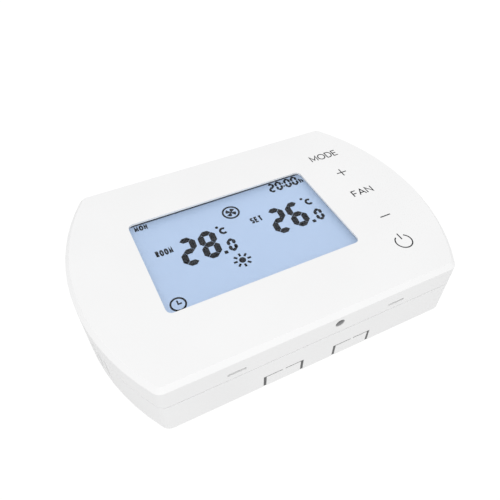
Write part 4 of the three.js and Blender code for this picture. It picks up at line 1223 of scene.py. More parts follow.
@dataclass
class DisplayWindow:
    """The lens and the liquid-crystal cell behind it, with what it shows and its light."""

    film: tuple[float, float] = (20.66, 20.78)
    thin: float = 0.56
    aside: float = 0.5
    above: float = 2.0
    foot: float = -6.1
    clock_foot: float = 15.0
    tall_digit: tuple[float, float, float] = (6.5, 13.1, 2.25)
    small_digit: tuple[float, float, float] = (3.2, 6.0, 1.2)
    clock_digit: tuple[float, float, float] = (2.75, 5.1, 0.95)
    lettering: Lettering = field(default_factory=Lettering)

    def build(self) -> None:
        """Dresses the panes and makes the dark parts of the picture, the seal and the lamps."""
        dress(["display_lens"], LENS_CLEAR, 0.15, 3)
        dress(["display_front_glass"], GLASS_CLEAR, 0.08, 1)
        dress(["display_rear_glass"], LIT_PLATE, 0.08, 1)
        dress(["light_guide", "backlight_lamp_left", "backlight_lamp_right"], GUIDE_ACRYLIC, 0.15)
        dress(["contact_strip"], STRIP_RUBBER, 0.15)
        dress(["display_frame"], BLACK_NYLON, 0.15)
        self.show("segments_clock_time", self.clock_time())
        self.show(
            "segments_room",
            self.reading(-28.8, -21.2, (2, 8), -13.7, -12.3, "ROOM", (-35.8, -29.7, 2.4, 5.3), -11.9, -12.1)
        )
        self.show(
            "segments_set",
            self.reading(6.1, 13.7, (2, 6), 21.3, 22.9, "SET", (0.4, 5.1, 3.0, 5.9), 23.0, 23.2)
        )
        self.show("segments_day", self.word("MON", -38.8, -34.0, 17.3, 19.9))
        self.show("segments_fan_icon", self.fan_icon(-4.1, 11.9))
        self.show("segments_sun_icon", self.sun_icon(-10.3, -11.1))
        self.show("segments_clock_icon", self.clock_icon(-36.2, -18.9))
        self.seal()

    def show(self, name: str, shape: Surface) -> None:
        """Puts a dark part of the picture between the two glasses."""
        shape.set_at(self.aside, 0, self.above).make(name, SEGMENT_DARK, "cover", "black_moulding")

    def word(self, text: str, left: float, right: float, low: float, high: float) -> Surface:
        """A small word of the picture."""
        return self.lettering.word(text, left, right, low, high, self.thin, self.film)

    def clock_time(self) -> Surface:
        """The time: four small digits, a colon and the letter h."""
        starts = np.array([14.4, 17.5, 21.4, 24.4])
        digits = [
            self.lettering.digit(value, x, self.clock_foot, *self.clock_digit, self.film)
            for value, x in zip((2, 0, 0, 0), starts)
        ]
        dots = [
            polygon_plate(circle(10) * 0.36 + np.array([20.95 + lean, z]), *self.film)
            for lean, z in ((0, 16.5), (0.15, 18.3))
        ]
        return Surface.joined(digits + dots + [self.word("h", 27.7, 29.2, 15.2, 18.2)])

    def reading(
        self, first: float, second: float, values: tuple[int, int], dot: float, tenth: float, name: str,
        label: tuple[float, float, float, float], degree: float, unit: float
    ) -> Surface:
        """A temperature: two tall digits, point and tenth, its name, the degree ring and the C.

        Args:
            first: X of the first digit.
            second: X of the second digit.
            values: the two digits.
            dot: X of the decimal point.
            tenth: X of the small digit.
            name: word beside the reading.
            label: left, right, foot and top of that word.
            degree: X of the degree ring.
            unit: X of the C.

        Returns:
            All of it as one surface.
        """
        tall = [
            self.lettering.digit(v, x, self.foot, *self.tall_digit, self.film)
            for v, x in zip(values, (first, second))
        ]
        small = self.lettering.digit(0, tenth, self.foot, *self.small_digit, self.film)
        point = polygon_plate(rounded_points(1.3, 1.3, 0.2) + np.array([dot, self.foot + 0.6]), *self.film)
        ring = polygon_plate(circle(14) * 0.56 + np.array([degree - 0.1, 6.9]), *self.film)
        letter = self.lettering.word("C", unit + 0.1, unit + 2.8, 2.8, 6.1, 0.85, self.film)
        return Surface.joined(tall + [small, point, ring, letter, self.word(name, *label)])

    def fan_icon(self, x: float, z: float) -> Surface:
        """A ring around four curved blades: a blade's edge is r sin(a)^0.7 across from its hub to its tip.

        Args:
            x: X of the middle.
            z: Z of the middle.

        Returns:
            The icon as one surface.
        """
        ring = stroke(bow(x, z, 3.0, 3.0, 0, 360, 41)[:-1], 0.66, *self.film, loop=True)
        along = np.linspace(0, 1, 9)
        lead = np.column_stack([0.2 + 1.95 * along, 1.4 * np.sin(math.pi * along) ** 0.7])
        trail = np.column_stack([0.2 + 1.95 * along[::-1], -0.12 + 0.22 * along[::-1]])[1:-1]
        blade = np.vstack([lead, trail])
        angle = np.arange(4) * math.pi / 2 + 0.5
        turn = np.stack([np.cos(angle), np.sin(angle), -np.sin(angle), np.cos(angle)], -1).reshape(-1, 2, 2)
        blades = [
            polygon_plate(points + np.array([x, z]), *self.film)
            for points in np.einsum("pk,nkj->npj", blade, turn)
        ]
        hub = polygon_plate(circle(12) * 0.35 + np.array([x, z]), *self.film)
        return Surface.joined([ring, hub] + blades)

    def sun_icon(self, x: float, z: float) -> Surface:
        """A round core and eight rays.

        Args:
            x: X of the middle.
            z: Z of the middle.

        Returns:
            The icon as one surface.
        """
        core = polygon_plate(circle(20) * 1.2 + np.array([x, z]), *self.film)
        rays = [
            stroke(np.stack([ray * 1.85, ray * 3.15]) + np.array([x, z]), 0.75, *self.film)
            for ray in circle(8)
        ]
        return Surface.joined([core] + rays)

    def clock_icon(self, x: float, z: float) -> Surface:
        """A ring with two hands."""
        ring = stroke(bow(x, z, 2.45, 2.45, 0, 360, 33)[:-1], 0.6, *self.film, loop=True)
        hands = stroke(np.array([[x, z + 1.5], [x, z], [x + 1.2, z]]), 0.5, *self.film)
        return Surface.joined([ring, hands])

    def seal(self) -> None:
        """The glue line round the cell, between the glasses, as a thin rectangular loop."""
        low, high = box_of("display_front_glass")
        inset = 0.5
        corners = np.array([[low[0], low[2]], [high[0], low[2]], [high[0], high[2]], [low[0], high[2]]])
        centre = corners.mean(0)
        path = corners - np.sign(corners - centre) * inset
        levels = (box_of("display_rear_glass")[1][1] - 0.02, low[1] + 0.02)
        stroke(path, 0.8, *levels, loop=True).set_at(0, 0, 0).make(
            "cell_seal", SEGMENT_SEAL, "cover", "display_glass"
        )


@dataclass
class DisplayBoard:
    """The board in the front cover: touch springs, controller, clock cell, sensor, header and small parts."""

    front: float = 15.8
    rear: float = 14.6
    keys: Sequence[str] = ("mode", "plus", "fan", "minus", "power")

    def build(self) -> None:
        """Dresses the board and makes everything on it."""
        dress(["display_board"], BOARD_GREEN, 0.1, 1)
        self.springs()
        self.screws()
        self.controller()
        self.clock_cell()
        self.sensor()
        self.header()
        self.chips()
        self.outlines()

    def springs(self) -> None:
        """Conical touch springs: radius 2.6 - 0.5 h, height h along the turns, on a soldered foot."""
        turns, steps = 4.5, 26
        share = np.linspace(0, 1, int(turns * steps))
        angle = share * turns * 2 * math.pi
        wire = 0.24
        for key in self.keys:
            x, _, z = middle(f"touch_spring_{key}")
            low, high = box_of(f"touch_spring_{key}")
            climb = np.clip((angle - 1.6 * math.pi) / (angle[-1] - 3.2 * math.pi), 0, 1)
            reach = 2.7 - 0.6 * climb
            rise = self.front + wire + climb * (high[1] - self.front - 2 * wire)
            path = np.column_stack([reach * np.cos(angle), reach * np.sin(angle), rise])
            coil = tube(path, wire, (0, 0, 1), 8)
            cap = revolved(
                [0.3, 2.1, 2.2, 2.2, 2.1, 0.3],
                [high[1] - 0.16, high[1] - 0.16, high[1] - 0.12, high[1] - 0.04, high[1], high[1]], 28
            )
            foot = revolved(
                [2.9, 2.9, 2.6, 2.2, 2.0],
                [self.front, self.front + 0.06, self.front + 0.14, self.front + 0.1, self.front + 0.05], 28
            )
            made = Surface.joined([coil, cap]).set_at(x, 0, z).make(
                f"touch_coil_{key}", SPRING_STEEL, "cover", "contact_spring"
            )
            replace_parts(made, f"touch_spring_{key}")
            foot.set_at(x, 0, z).make(f"touch_coil_pad_{key}", SOLDER, "cover", "contact_spring")

    def screws(self) -> None:
        """Pan-head screws that go in from behind."""
        for number in range(1, 5):
            name = f"display_board_screw_{number}"
            low, high = box_of(name)
            x, _, z = middle(name)
            made = screw(1.9, 1.3, 1.0, high[1] - low[1] - 1.3, 0.8, Recess.CROSS)
            piece = made.set_at(x, low[1], z, Facing.WALL).make(
                f"board_fixing_{number}", ZINC, "cover", "zinc_screw"
            )
            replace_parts(piece, name)

    def controller(self) -> None:
        """A flat chip with gull-wing leads: each lead is a thin strip swept along an S in its own plane."""
        low, high = box_of("microcontroller")
        x, _, z = middle("microcontroller")
        body = cushion_block(8.2, 8.2, 0, 1.0, 0.3, 0.12)
        dimple = revolved([0.05, 0.35, 0.42, 0.42], [1.0, 1.0, 1.01, 0.98], 16)
        piece = Surface.joined([body, dimple.repeated(np.array([[-3.2, 3.2, 0.0]]))])
        made = piece.set_at(x, self.rear - 0.12, z, Facing.WALL).make(
            "controller_body", CHIP_BLACK, "cover", "black_moulding"
        )
        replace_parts(made, "microcontroller")
        run = np.array(
            [[3.9, 0, 0.5], [4.3, 0, 0.5], [4.45, 0, 0.42], [4.55, 0, 0.12], [4.66, 0, 0.04], [4.95, 0, 0.04]]
        )
        lead = swept(run, np.array([[-0.12, -0.05], [0.12, -0.05], [0.12, 0.05], [-0.12, 0.05]]), (0, 0, 1))
        row = np.linspace(-3.5, 3.5, 12)
        side = np.repeat(np.arange(4) * math.pi / 2, 12)
        shift = np.tile(row, 4)
        places = np.column_stack([-np.sin(side) * shift, np.cos(side) * shift, np.zeros(48)])
        lead.repeated(places, side).set_at(x, self.rear - 0.02, z, Facing.WALL).make(
            "controller_leads", SOLDER, "cover", "bright_steel"
        )

    def clock_cell(self) -> None:
        """A coin cell with a rolled rim in its holder, under a spring clip that arches over it."""
        x, _, z = middle("clock_cell")
        low, high = box_of("clock_cell")
        thick = high[1] - low[1]
        can = revolved(
            [4.9, 5.0, 5.0, 4.92, 4.75, 4.4, 4.3, 4.15, 4.0, 0.4],
            [
                0, 0.1, thick - 0.35, thick - 0.2, thick - 0.12, thick - 0.12, thick - 0.2, thick - 0.05,
                thick, thick
            ],
            56,
        )
        made = can.set_at(x, high[1], z, Facing.WALL).make("coin_cell", BRIGHT_STEEL, "cover", "bright_steel")
        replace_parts(made, "clock_cell")
        dress(["clock_cell_holder"], BLACK_NYLON, 0.15)
        share = np.linspace(0, 1, 22)
        arch = np.column_stack(
            [
                np.interp(share, [0, 0.08, 0.14, 0.86, 0.92, 1], [-6.2, -5.6, -5.45, 5.45, 5.6, 6.2]),
                np.zeros(22),
                np.interp(share, [0, 0.08, 0.14, 0.86, 0.92, 1], [0.1, 0.1, 3.45, 3.45, 0.1, 0.1])
            ]
        )
        strip = swept(arch, np.array([[-1.3, -0.09], [1.3, -0.09], [1.3, 0.09], [-1.3, 0.09]]), (0, 0, 1))
        strip.set_at(x, self.rear, z, Facing.WALL).make(
            "coin_cell_clip", GOLD_FLASH, "cover", "contact_spring"
        )

    def sensor(self) -> None:
        """A bead sensor: an egg-shaped bead, radius sqrt(1 - t^2), on two bent wires."""
        x, _, z = middle("room_sensor")
        turn = np.linspace(-math.pi / 2, math.pi / 2, 16)
        bead = revolved(0.95 * np.cos(turn) + 0.01, 1.25 * np.sin(turn), 24)
        made = bead.set_at(x, self.rear - 1.1, z, Facing.UP).make(
            "sensor_bead", CHIP_BLACK, "cover", "black_moulding"
        )
        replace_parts(made, "room_sensor")
        legs = []
        for side in (-1, 1):
            wire = np.array(
                [
                    [side * 0.3, -0.8, -1.1], [side * 0.35, -1.6, -1.1], [side * 0.6, -2.0, -0.8],
                    [side * 1.2, -2.3, -0.3], [side * 1.27, -2.35, 0.1]
                ]
            )
            legs.append(tube(wire * np.array([1, -1, 1]), 0.16, (1, 0.3, 0.2), 8))
        Surface.joined(legs).set_at(x, self.rear, z).make("sensor_wires", SOLDER, "cover", "bright_steel")

    def header(self) -> None:
        """Dresses the pin header and adds its six square gold pins."""
        dress(["pin_header"], BLACK_NYLON, 0.1, 1)
        x, _, z = middle("pin_header")
        low, high = box_of("pin_header")
        pins = x + (np.arange(6) - 2.5) * 2.54
        shank = cushion_block(0.62, 0.62, 0, 6.6, 0.08, 0.05)
        places = np.column_stack([pins, np.full(6, z), np.full(6, low[1] + 0.02)])
        shank.repeated(places).set_at(0, 0, 0).make("header_pins", GOLD_FLASH, "cover", "bright_steel")

    def chips(self) -> None:
        """Rows of small resistors and capacitors: blocks with bright ends, at fixed places."""
        centres = np.array([
            [12.5, 3.2, 0], [12.5, 0.6, 0], [12.5, -2.0, 0], [12.5, -4.6, 0], [12.5, -7.2, 0], [30.5, 2.0, 1],
            [30.5, -1.2, 1],
            [30.5, -4.4, 1], [30.5, -7.6, 1], [18.0, -12.0, 0], [21.4, -12.0, 0], [24.8, -12.0, 0],
            [18.0, 6.6, 0],
            [21.4, 6.6, 0], [24.8, 6.6, 0], [-14.0, -24.0, 1], [-10.8, -24.0, 1], [-7.6, -24.0, 1],
            [40.0, -8.0, 1],
            [40.0, 4.0, 1], [40.0, 18.0, 1], [-20.0, -12.0, 0], [-20.0, -9.4, 0], [-20.0, -6.8, 0],
            [-34.0, 12.0, 0],
            [-34.0, 9.4, 0], [-34.0, 6.8, 0], [-22.0, 26.0, 1], [-18.8, 26.0, 1], [-15.6, 26.0, 1],
            [2.0, 26.0, 0],
        ])
        turns = centres[:, 2] * math.pi / 2
        places = np.column_stack([centres[:, :2], np.zeros(len(centres))])
        body = cushion_block(1.15, 0.82, 0, 0.5, 0.06, 0.04)
        ends = Surface.joined(
            [
                cushion_block(0.36, 0.84, 0, 0.53, 0.1, 0.08).repeated(np.array([[side * 0.72, 0, 0]]))
                for side in (-1, 1)
            ]
        )
        kinds = np.arange(len(centres)) % 3 == 0
        for name, finish, chosen in (
            ("chip_resistors", CHIP_BLACK, ~kinds), ("chip_capacitors", CHIP_TAN, kinds)
        ):
            body.repeated(places[chosen], turns[chosen]).set_at(0, self.rear, 0, Facing.WALL).make(
                name, finish, "cover", "black_moulding"
            )
        ends.repeated(places, turns).set_at(0, self.rear, 0, Facing.WALL).make(
            "chip_ends", SOLDER, "cover", "bright_steel"
        )
        crystal = cushion_block(3.2, 1.5, 0, 0.9, 0.7, 0.2)
        crystal.set_at(20, self.rear, 13, Facing.WALL).make(
            "crystal_can", BRIGHT_STEEL, "cover", "bright_steel"
        )

    def outlines(self) -> None:
        """White printed outlines round the parts on the board's rear."""
        frames = [
            ("microcontroller", 0.7), ("clock_cell_holder", 1.2), ("pin_header", 0.5), ("room_sensor", 0.8)
        ]
        lines = []
        for name, margin in frames:
            low, high = box_of(name)
            size = high - low
            centre = (low + high) / 2
            outline = rounded_points(size[0] + 2 * margin, size[2] + 2 * margin, 0.3) + centre[[0, 2]]
            lines.append(stroke(outline, 0.18, self.rear - 0.02, self.rear + 0.02, loop=True))
        Surface.joined(lines).set_at(0, 0, 0).make(
            "display_board_print", BOARD_WHITE, "cover", "circuit_board"
        )


@dataclass
class PowerBoard:
    """The board on the base: relays, power module, capacitors, fuse, socket and their leads."""

    front: float = 4.6
    relays: int = 4

    def build(self) -> None:
        """Dresses the board and makes everything on it."""
        dress(["power_board"], BOARD_GREEN, 0.1, 1)
        dress(["header_socket"], BLACK_NYLON, 0.12)
        self.screws()
        self.relay_row()
        self.module()
        self.cans()
        self.film_and_disc()
        self.fuse()
        self.chips()
        self.outlines()

    def screws(self) -> None:
        """Pan-head screws that go in from the front."""
        for number in range(1, 5):
            name = f"power_board_screw_{number}"
            low, high = box_of(name)
            x, _, z = middle(name)
            made = screw(1.9, 1.3, 1.0, high[1] - low[1] - 1.3, 0.8, Recess.CROSS)
            piece = made.set_at(x, high[1], z).make(f"power_fixing_{number}", ZINC, "base", "zinc_screw")
            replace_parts(piece, name)

    def relay_row(self) -> None:
        """Each relay: a case over a wider foot, with a raised panel and a vent pip, on five leads."""
        cores, rays = rounded_outline(19.0, 10.0, 0.8)
        corner = np.sin(np.linspace(0, math.pi / 2, 5))
        for number in range(1, self.relays + 1):
            x, _, z = middle(f"relay_{number}")
            low, high = box_of(f"relay_{number}")
            tall = high[1] - low[1]
            reach = np.concatenate(
                [[0.7, 0.8, 0.8, 0.55, 0.5, 0.5], 0.5 - 0.45 * (1 - np.cos(np.arcsin(corner)))]
            )
            rise = np.concatenate([[0, 0.1, 1.1, 1.2, 1.3, tall - 0.75], tall - 0.65 + 0.45 * corner])
            case = lofted(cores, rays, reach, rise)
            panel = cushion_block(15.4, 7.0, tall - 0.3, tall - 0.04, 0.6, 0.1)
            pip = revolved(
                [0.9, 0.9, 0.8, 0.3], [tall - 0.3, tall - 0.12, tall, tall], 20
            ).repeated(np.array([[8.3, 3.9, 0.0]]))
            made = Surface.joined([case, panel, pip]).set_at(x, low[1], z).make(
                f"relay_case_{number}", RELAY_BLUE, "base", "relay_blue"
            )
            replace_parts(made, f"relay_{number}")
            pin = revolved([0.45, 0.45], [-0.35, 0.2], 10)
            spots = np.array([[-7.5, 0, 0], [-5.0, 3.6, 0], [-5.0, -3.6, 0], [7.0, 3.6, 0], [7.0, -3.6, 0]])
            pin.repeated(spots).set_at(x, low[1], z).make(
                f"relay_leads_{number}", SOLDER, "base", "bright_steel"
            )

    def module(self) -> None:
        """The sealed supply: a rounded case with a raised rim and four feet."""
        x, _, z = middle("power_module")
        low, high = box_of("power_module")
        tall = high[1] - low[1]
        tray = cushion_block(32, 20, 0, tall, 1.0, 0.5)
        made = tray.set_at(x, low[1], z).make("supply_case", BLACK_NYLON, "base", "black_moulding")
        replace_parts(made, "power_module")
        rim = stroke(rounded_points(30.6, 18.6, 0.8), 0.5, tall - 0.08, tall + 0.12, loop=True)
        rim.set_at(x, low[1], z).make("supply_rim", BLACK_NYLON, "base", "black_moulding")
        feet = cushion_block(1.6, 1.6, -0.3, 0.05, 0.3, 0.05).repeated(
            np.array([[a, b, 0] for a in (-14, 14) for b in (-8, 8)])
        )
        feet.set_at(x, low[1], z).make("supply_feet", BLACK_NYLON, "base", "black_moulding")

    def cans(self) -> None:
        """Storage capacitors: a sleeve rolled in at the crimp, its stripe, and the scored bare top."""
        for number in (1, 2):
            name = f"storage_capacitor_{number}"
            x, _, z = middle(name)
            low, high = box_of(name)
            tall, radius = high[1] - low[1], (high[0] - low[0]) / 2
            rise = np.array(
                [0, 0.15, 0.5, 0.95, 1.2, 1.45, 1.9, tall - 0.4, tall - 0.12, tall - 0.02, tall - 0.05]
            )
            reach = radius + np.array([-0.35, -0.08, 0, -0.12, -0.34, -0.12, 0, 0, -0.1, -0.4, -0.75])
            sleeve = revolved(reach, rise, 48).set_at(x, low[1], z).make(
                f"can_sleeve_{number}", CAN_SLEEVE, "base", "capacitor_sleeve"
            )
            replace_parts(sleeve, name)
            turn = np.radians(np.linspace(205, 245, 9))
            levels = rise[2:9]
            skin = reach[2:9, None, None] + np.array([-0.05, 0.02])[None, :, None]
            ring = np.concatenate([np.repeat(skin[:, 1], 9, 1), np.repeat(skin[:, 0], 9, 1)], 1)
            both = np.concatenate([turn, turn[::-1]])
            grid = np.stack(
                [ring * np.cos(both), ring * np.sin(both), np.broadcast_to(levels[:, None], ring.shape)], -1
            )
            Surface.from_grid(grid).set_at(x, low[1], z).make(
                f"can_stripe_{number}", BOARD_WHITE, "base", "capacitor_sleeve"
            )
            self.can_top(x, z, high[1], radius - 0.7, number)

    def can_top(self, x: float, z: float, out: float, radius: float, number: int) -> None:
        """The bare top: a disc whose height drops by 0.1 along a scored cross.

        Args:
            x: X of the middle.
            z: Z of the middle.
            out: level of the top.
            radius: radius of the disc.
            number: which capacitor it is.
        """
        columns = 64
        rays = circle(columns)
        inner = np.linspace(radius, 0.05, 18)
        flat = inner[:, None, None] * rays[None]
        near = np.minimum(np.abs(flat[..., 0]), np.abs(flat[..., 1]))
        score = np.clip(1 - near / 0.16, 0, 1) * np.clip((radius * 0.85 - inner[:, None]) / 0.2, 0, 1)
        top = np.concatenate([flat, (-0.1 * score)[..., None]], -1)
        base = np.concatenate([flat[:1], np.full((1, columns, 1), -0.3)], -1)
        made = Surface.from_grid(np.concatenate([base, top]))
        made.set_at(x, out - 0.01, z).make(f"can_top_{number}", BRIGHT_STEEL, "base", "bright_steel")

    def film_and_disc(self) -> None:
        """The film capacitor's moulded box, and the varistor's disc with its dipped collar and leads."""
        x, _, z = middle("film_capacitor")
        low, high = box_of("film_capacitor")
        box = cushion_block(13, 6, 0, high[1] - low[1], 0.7, 0.5).set_at(x, low[1], z)
        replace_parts(box.make("film_box", FILM_YELLOW, "base", "film_yellow"), "film_capacitor")
        x, _, z = middle("varistor")
        low, high = box_of("varistor")
        radius = (high[0] - low[0]) / 2
        turn = np.linspace(-math.pi / 2, math.pi / 2, 14)
        bulge = np.sign(np.sin(turn)) * np.abs(np.sin(turn)) ** 0.6
        disc = revolved(
            radius * (0.42 + 0.58 * np.cos(turn) ** 0.5) * np.where(np.abs(turn) > 1.55, 0.05, 1),
            1.55 * bulge, 48
        )
        made = disc.set_at(x, high[1] - radius, z, Facing.UP)
        legs = []
        for side in (-1, 1):
            wire = np.array(
                [
                    [side * 2.1, 0, 1.6 - radius], [side * 2.3, 0, 0.8 - radius],
                    [side * 2.5, 0, -radius - 0.5], [side * 2.5, 0, -radius - 1.5]
                ]
            )
            legs.append(tube(wire, 0.32, (0, 1, 0), 10))
        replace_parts(made.make("varistor_disc", DISC_BLUE, "base", "varistor_blue"), "varistor")
        Surface.joined(legs).set_at(x, high[1] - radius, z).make(
            "varistor_leads", SOLDER, "base", "bright_steel"
        )

    def fuse(self) -> None:
        """The round fuse: a cap with a step at its base and a shallow dish on top."""
        x, _, z = middle("fuse")
        low, high = box_of("fuse")
        tall = high[1] - low[1]
        cap = revolved(
            [4.1, 4.2, 4.2, 4.05, 4.0, 4.0, 3.85, 3.5, 3.3, 3.1, 0.2],
            [0, 0.1, 1.2, 1.3, 1.4, tall - 0.4, tall - 0.1, tall, tall, tall - 0.2, tall - 0.22], 48
        )
        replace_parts(cap.set_at(x, low[1], z).make("fuse_cap", CHIP_BLACK, "base", "black_moulding"), "fuse")

    def chips(self) -> None:
        """Driver parts beside the relays: flat chips with leads, and small parts in rows."""
        body = cushion_block(4.9, 3.8, 0.1, 1.5, 0.15, 0.12)
        spots = np.array([[14.0, -6.0, 0], [-2.0, 1.0, 0]])
        body.repeated(spots).set_at(0, self.front, 0).make(
            "driver_chips", CHIP_BLACK, "base", "black_moulding"
        )
        run = np.array(
            [[0, 1.8, 0.8], [0, 2.2, 0.8], [0, 2.45, 0.6], [0, 2.55, 0.15], [0, 2.7, 0.04], [0, 3.0, 0.04]]
        )
        lead = swept(run, np.array([[-0.2, -0.08], [0.2, -0.08], [0.2, 0.08], [-0.2, 0.08]]), (0, 0, 1))
        row = np.array([-1.905, -0.635, 0.635, 1.905])
        shifts = np.array([[sx + side * dx, sy, 0] for sx, sy, _ in spots for side in (1, -1) for dx in row])
        turns = np.array([0.0 if side > 0 else math.pi for _ in spots for side in (1, -1) for _ in row])
        lead.repeated(shifts, turns).set_at(0, self.front, 0).make(
            "driver_leads", SOLDER, "base", "bright_steel"
        )
        grid = np.array(
            [
                [x, z, 0.0] for x in (24.5, 27.5, 30.5, 33.5) for z in (-4.5, -7.5)
            ] + [[x, 16.5, 0.0] for x in (-9, -3, 3, 12, 16, 26, 30, 36, 40)]
        )
        small = cushion_block(1.3, 0.9, 0, 0.55, 0.08, 0.05).repeated(grid)
        small.set_at(0, self.front, 0).make("power_chips", CHIP_TAN, "base", "black_moulding")
        ends = Surface.joined(
            [
                cushion_block(0.36, 0.92, 0, 0.58, 0.1, 0.08).repeated(grid + np.array([side * 0.78, 0, 0]))
                for side in (-1, 1)
            ]
        )
        ends.set_at(0, self.front, 0).make("power_chip_ends", SOLDER, "base", "bright_steel")

    def outlines(self) -> None:
        """White printed outlines round the parts on the board's front."""
        names = [f"relay_{n}" for n in range(1, 5)] + [
            "power_module", "film_capacitor", "varistor", "header_socket", "terminal_block_left",
            "terminal_block_right"
        ]
        lines = []
        for name in names:
            low, high = box_of(name)
            size, centre = high - low, (low + high) / 2
            outline = rounded_points(size[0] + 0.9, size[2] + 0.9, 0.3) + centre[[0, 2]]
            lines.append(stroke(outline, 0.2, self.front - 0.02, self.front + 0.02, loop=True))
        Surface.joined(lines).set_at(0, 0, 0).make("power_board_print", BOARD_WHITE, "base", "circuit_board")


@dataclass
class Terminals:
    """The two terminal blocks with their clamps and screws."""

    poles: int = 3

    def build(self) -> None:
        """Dresses blocks and clamps and makes each slotted screw."""
        for side in ("left", "right"):
            dress([f"terminal_block_{side}"], TERMINAL_GREEN, 0.12)
            for pole in range(1, self.poles + 1):
                dress([f"wire_clamp_{side}_{pole}"], BRIGHT_STEEL, 0.1)
                name = f"terminal_screw_{side}_{pole}"
                low, high = box_of(name)
                x, _, z = middle(name)
                made = screw(1.6, 1.2, 1.1, high[1] - low[1] - 1.2, 0.45, Recess.SLOT)
                piece = made.set_at(x, high[1], z).make(
                    f"clamp_screw_{side}_{pole}", ZINC, f"screw_{side}_{pole}", "zinc_screw"
                )
                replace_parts(piece, name)


@dataclass
class RearBase:
    """The rear shell, the two release latches, and the marks of its mould."""

    floor: float = 1.8
    knockout_middles: tuple[float, float] = (-12.2, 13.2)
    knockout_width: float = 14.3
    knockout_height: float = 5.9
    side_slot: float = 1.0
    top_slot: float = 0.6
    bridge: float = 1.0
    shade_web_sunk: float = 0.18
    shade_web_thickness: float = 0.5

    def build(self) -> None:
        """Dresses the shell, and the latches in a dark grey that is painted shade, lays dark plates of painted
        shade in the knock-outs' slots and adds the ejector marks.
        """
        dress(["rear_base"], HOUSING_WHITE, 0.1, 2)
        self.shade_webs()
        # Latch grey is painted shade in the cover's latch slots.
        dress(["release_latch_left", "release_latch_right"], LATCH_SHADE_GREY, 0.14, 2)
        ring = stroke(bow(0, 0, 2.3, 2.3, 0, 360, 33)[:-1], 0.3, -0.05, 0.08, loop=True)
        marks = np.array(
            [[-56, 0, 0], [56, 0, 0], [-56, -22, 0], [56, -22, 0], [-40, -34, 0], [40, -34, 0], [0, -34, 0]],
            float
        )
        ring.repeated(marks).set_at(0, self.floor, 0).make(
            "mould_marks", HOUSING_WHITE, "base", "housing_plastic"
        )

    def shade_webs(self) -> None:
        """Dark plates in the knock-outs' slots, where break-out webs would stand; their near-black grey is
        painted shade.

        Each is a flat plate a hair narrower than its slot. Its outline is given as x across the wall and
        y out from the rear face, and the plate stands a little inside the wall's outer skin.
        """
        half, play = self.knockout_width / 2, 0.03
        skin = float(box_of("rear_base")[0][2])
        top = self.knockout_height
        spans = [
            (-half, self.side_slot - half, 0.1, top),
            (half - self.side_slot, half, 0.1, top),
            (self.side_slot - half, -self.bridge / 2, top - self.top_slot, top),
            (self.bridge / 2, half - self.side_slot, top - self.top_slot, top),
        ]
        plates = []
        for middle_x in self.knockout_middles:
            for left, right, low, high in spans:
                corners = np.array(
                    [
                        [left + play, low + play], [right - play, low + play], [right - play, high - play],
                        [left + play, high - play]
                    ]
                )
                plates.append(
                    polygon_plate(
                        corners * np.array([1, -1]) + np.array([middle_x, 0]), self.shade_web_sunk,
                        self.shade_web_sunk + self.shade_web_thickness
                    )
                )
        # The plates' dark grey is painted shade for the inside of the knock-outs' slots.
        Surface.joined(plates).set_at(0, 0, skin, Facing.UP).make(
            "knockout_shade_webs", SHADE_WEB_GREY, "base", "housing_plastic"
        )


@dataclass
class LockScrew:
    """The small screw in the bottom edge, the washer that keeps it, and a grey sleeve of painted shade in its
    hole.
    """

    def build(self) -> None:
        """Makes the screw with its head down, dresses the washer, and lines the hole with a grey sleeve that
        is painted shade.
        """
        dress(["lock_washer"], BRIGHT_STEEL, 0.08)
        x, out, z = middle("lock_screw")
        low, high = box_of("lock_screw")
        head = (high[0] - low[0]) / 2
        made = screw(head, 1.2, 0.9, high[2] - low[2] - 1.2, 0.8, Recess.CROSS)
        piece = made.set_at(x, out, low[2], Facing.DOWN).make(
            "cover_lock_screw", DARK_ZINC, "lock_screw_body", "zinc_screw"
        )
        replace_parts(piece, "lock_screw")
        skin = float(box_of("front_cover")[0][2])
        # The sleeve's grey is painted shade inside the lock hole.
        sleeve = stroke(bow(0, 0, 1.56, 1.56, 0, 360, 33)[:-1], 0.1, 0.25, 2.4, loop=True)
        sleeve.set_at(x, out, skin, Facing.UP).make(
            "lock_hole_shade_sleeve", SHADE_SLEEVE_GREY, "cover", "housing_plastic"
        )


# ---------- Studio ----------


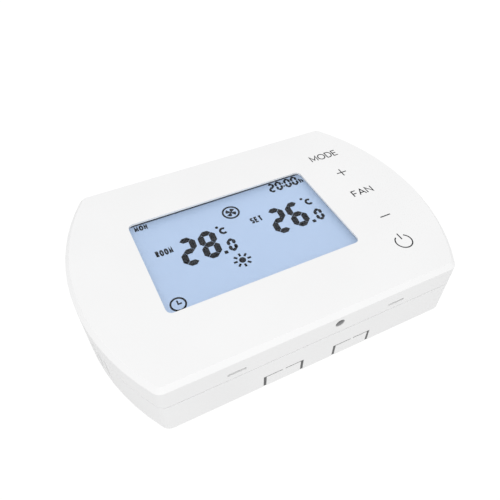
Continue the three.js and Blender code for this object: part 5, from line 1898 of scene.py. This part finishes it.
@dataclass
class Studio:
    """A plain pale wall, soft light, and the camera below and to the left of the hung thermostat."""

    place: tuple[float, float, float] = (-0.0558, -0.1434, -0.1078)
    forward: tuple[float, float, float] = (0.3007, 0.7343, 0.6085)
    top: tuple[float, float, float] = (0.3237, -0.6788, 0.6591)
    lens: float = 35.09
    sky: float = 0.835
    key_power: float = 7.3
    key_distance: float = 1.5
    key_side: tuple[float, float, float] = (-0.211, -0.844, -0.493)

    def build(self) -> None:
        """Makes wall, lights and camera."""
        self.wall()
        self.sky_light()
        self.key_light()
        self.camera()

    def camera(self) -> None:
        """Sets the camera's axes: it looks along forward, and its right is forward x top."""
        ahead = np.array(self.forward) / np.linalg.norm(self.forward)
        right = np.cross(ahead, np.array(self.top))
        right /= np.linalg.norm(right)
        matrix = np.eye(4)
        matrix[:3, 0], matrix[:3, 1], matrix[:3, 2], matrix[:3, 3] = right, np.cross(
            right, ahead
        ), -ahead, self.place
        data = bpy.data.cameras.new("camera")
        data.lens, data.sensor_width, data.clip_start = self.lens, 36, 0.005
        camera = bpy.data.objects.new("camera", data)
        camera.matrix_world = [list(row) for row in matrix.T]
        bpy.context.scene.collection.objects.link(camera)
        bpy.context.scene.camera = camera

    def sky_light(self) -> None:
        """An even pale surround; the camera sees it white."""
        world = bpy.data.worlds.new("surround")
        bpy.context.scene.world = world
        world.use_nodes = True
        graph = Graph(world.node_tree)
        seen = graph.add("ShaderNodeLightPath").outputs["Is Camera Ray"]
        strength = graph.ramp(seen, 0, 1, self.sky, 1.0)
        graph.tree.links.new(strength, world.node_tree.nodes["Background"].inputs["Strength"])
        world.node_tree.nodes["Background"].inputs["Color"].default_value = (1, 1, 1, 1)

    def key_light(self) -> None:
        """A large soft lamp out in the room, a little low and to the left."""
        data = bpy.data.lights.new("soft_lamp", "AREA")
        data.shape, data.size, data.energy = "DISK", 1.2, self.key_power
        lamp = bpy.data.objects.new("soft_lamp", data)
        away = np.array(self.key_side)
        lamp.location = away * self.key_distance
        lamp.rotation_euler = Vector(away).to_track_quat("Z", "Y").to_euler()
        bpy.context.scene.collection.objects.link(lamp)

    def wall(self) -> None:
        """The pale wall behind, seen from the room only; it neither shades nor lights the thermostat."""
        mesh = bpy.data.meshes.new("wall")
        far, back = 4.0, 0.0006
        corners = np.array([[-far, back, -far], [far, back, -far], [far, back, far], [-far, back, far]])
        mesh.from_pydata(corners.tolist(), [], [[0, 1, 2, 3]])
        wall = bpy.data.objects.new("wall", mesh)
        bpy.context.scene.collection.objects.link(wall)
        paint = bpy.data.materials.new("wall_paint")
        paint.use_nodes = True
        graph = Graph(paint.node_tree)
        shader = paint.node_tree.nodes["Principled BSDF"]
        shader.inputs["Base Color"].default_value = (0.02, 0.02, 0.02, 1)
        shader.inputs["Roughness"].default_value = 1.0
        shader.inputs["Emission Color"].default_value = (1, 1, 1, 1)
        shader.inputs["Emission Strength"].default_value = 1.0
        behind = graph.add("ShaderNodeNewGeometry").outputs["Backfacing"]
        graph.tree.links.new(graph.math("SUBTRACT", 1.0, behind), shader.inputs["Alpha"])
        mesh.materials.append(paint)
        wall.visible_diffuse = wall.visible_glossy = wall.visible_transmission = wall.visible_shadow = False


def set_look() -> None:
    """Plain display of tones: whites stay white."""
    bpy.context.scene.view_settings.view_transform = "Standard"


def main() -> None:
    """Builds the sub-assemblies from the front to the wall, then the studio."""
    logging.basicConfig(level=logging.INFO, format="%(message)s")
    set_look()
    thermostat = (
        FrontCover(), DisplayWindow(), DisplayBoard(), RearBase(), PowerBoard(), Terminals(), LockScrew()
    )
    for assembly in (*thermostat, Studio()):
        LOG.info("building %s", type(assembly).__name__)
        assembly.build()


if __name__ == "__main__":
    main()
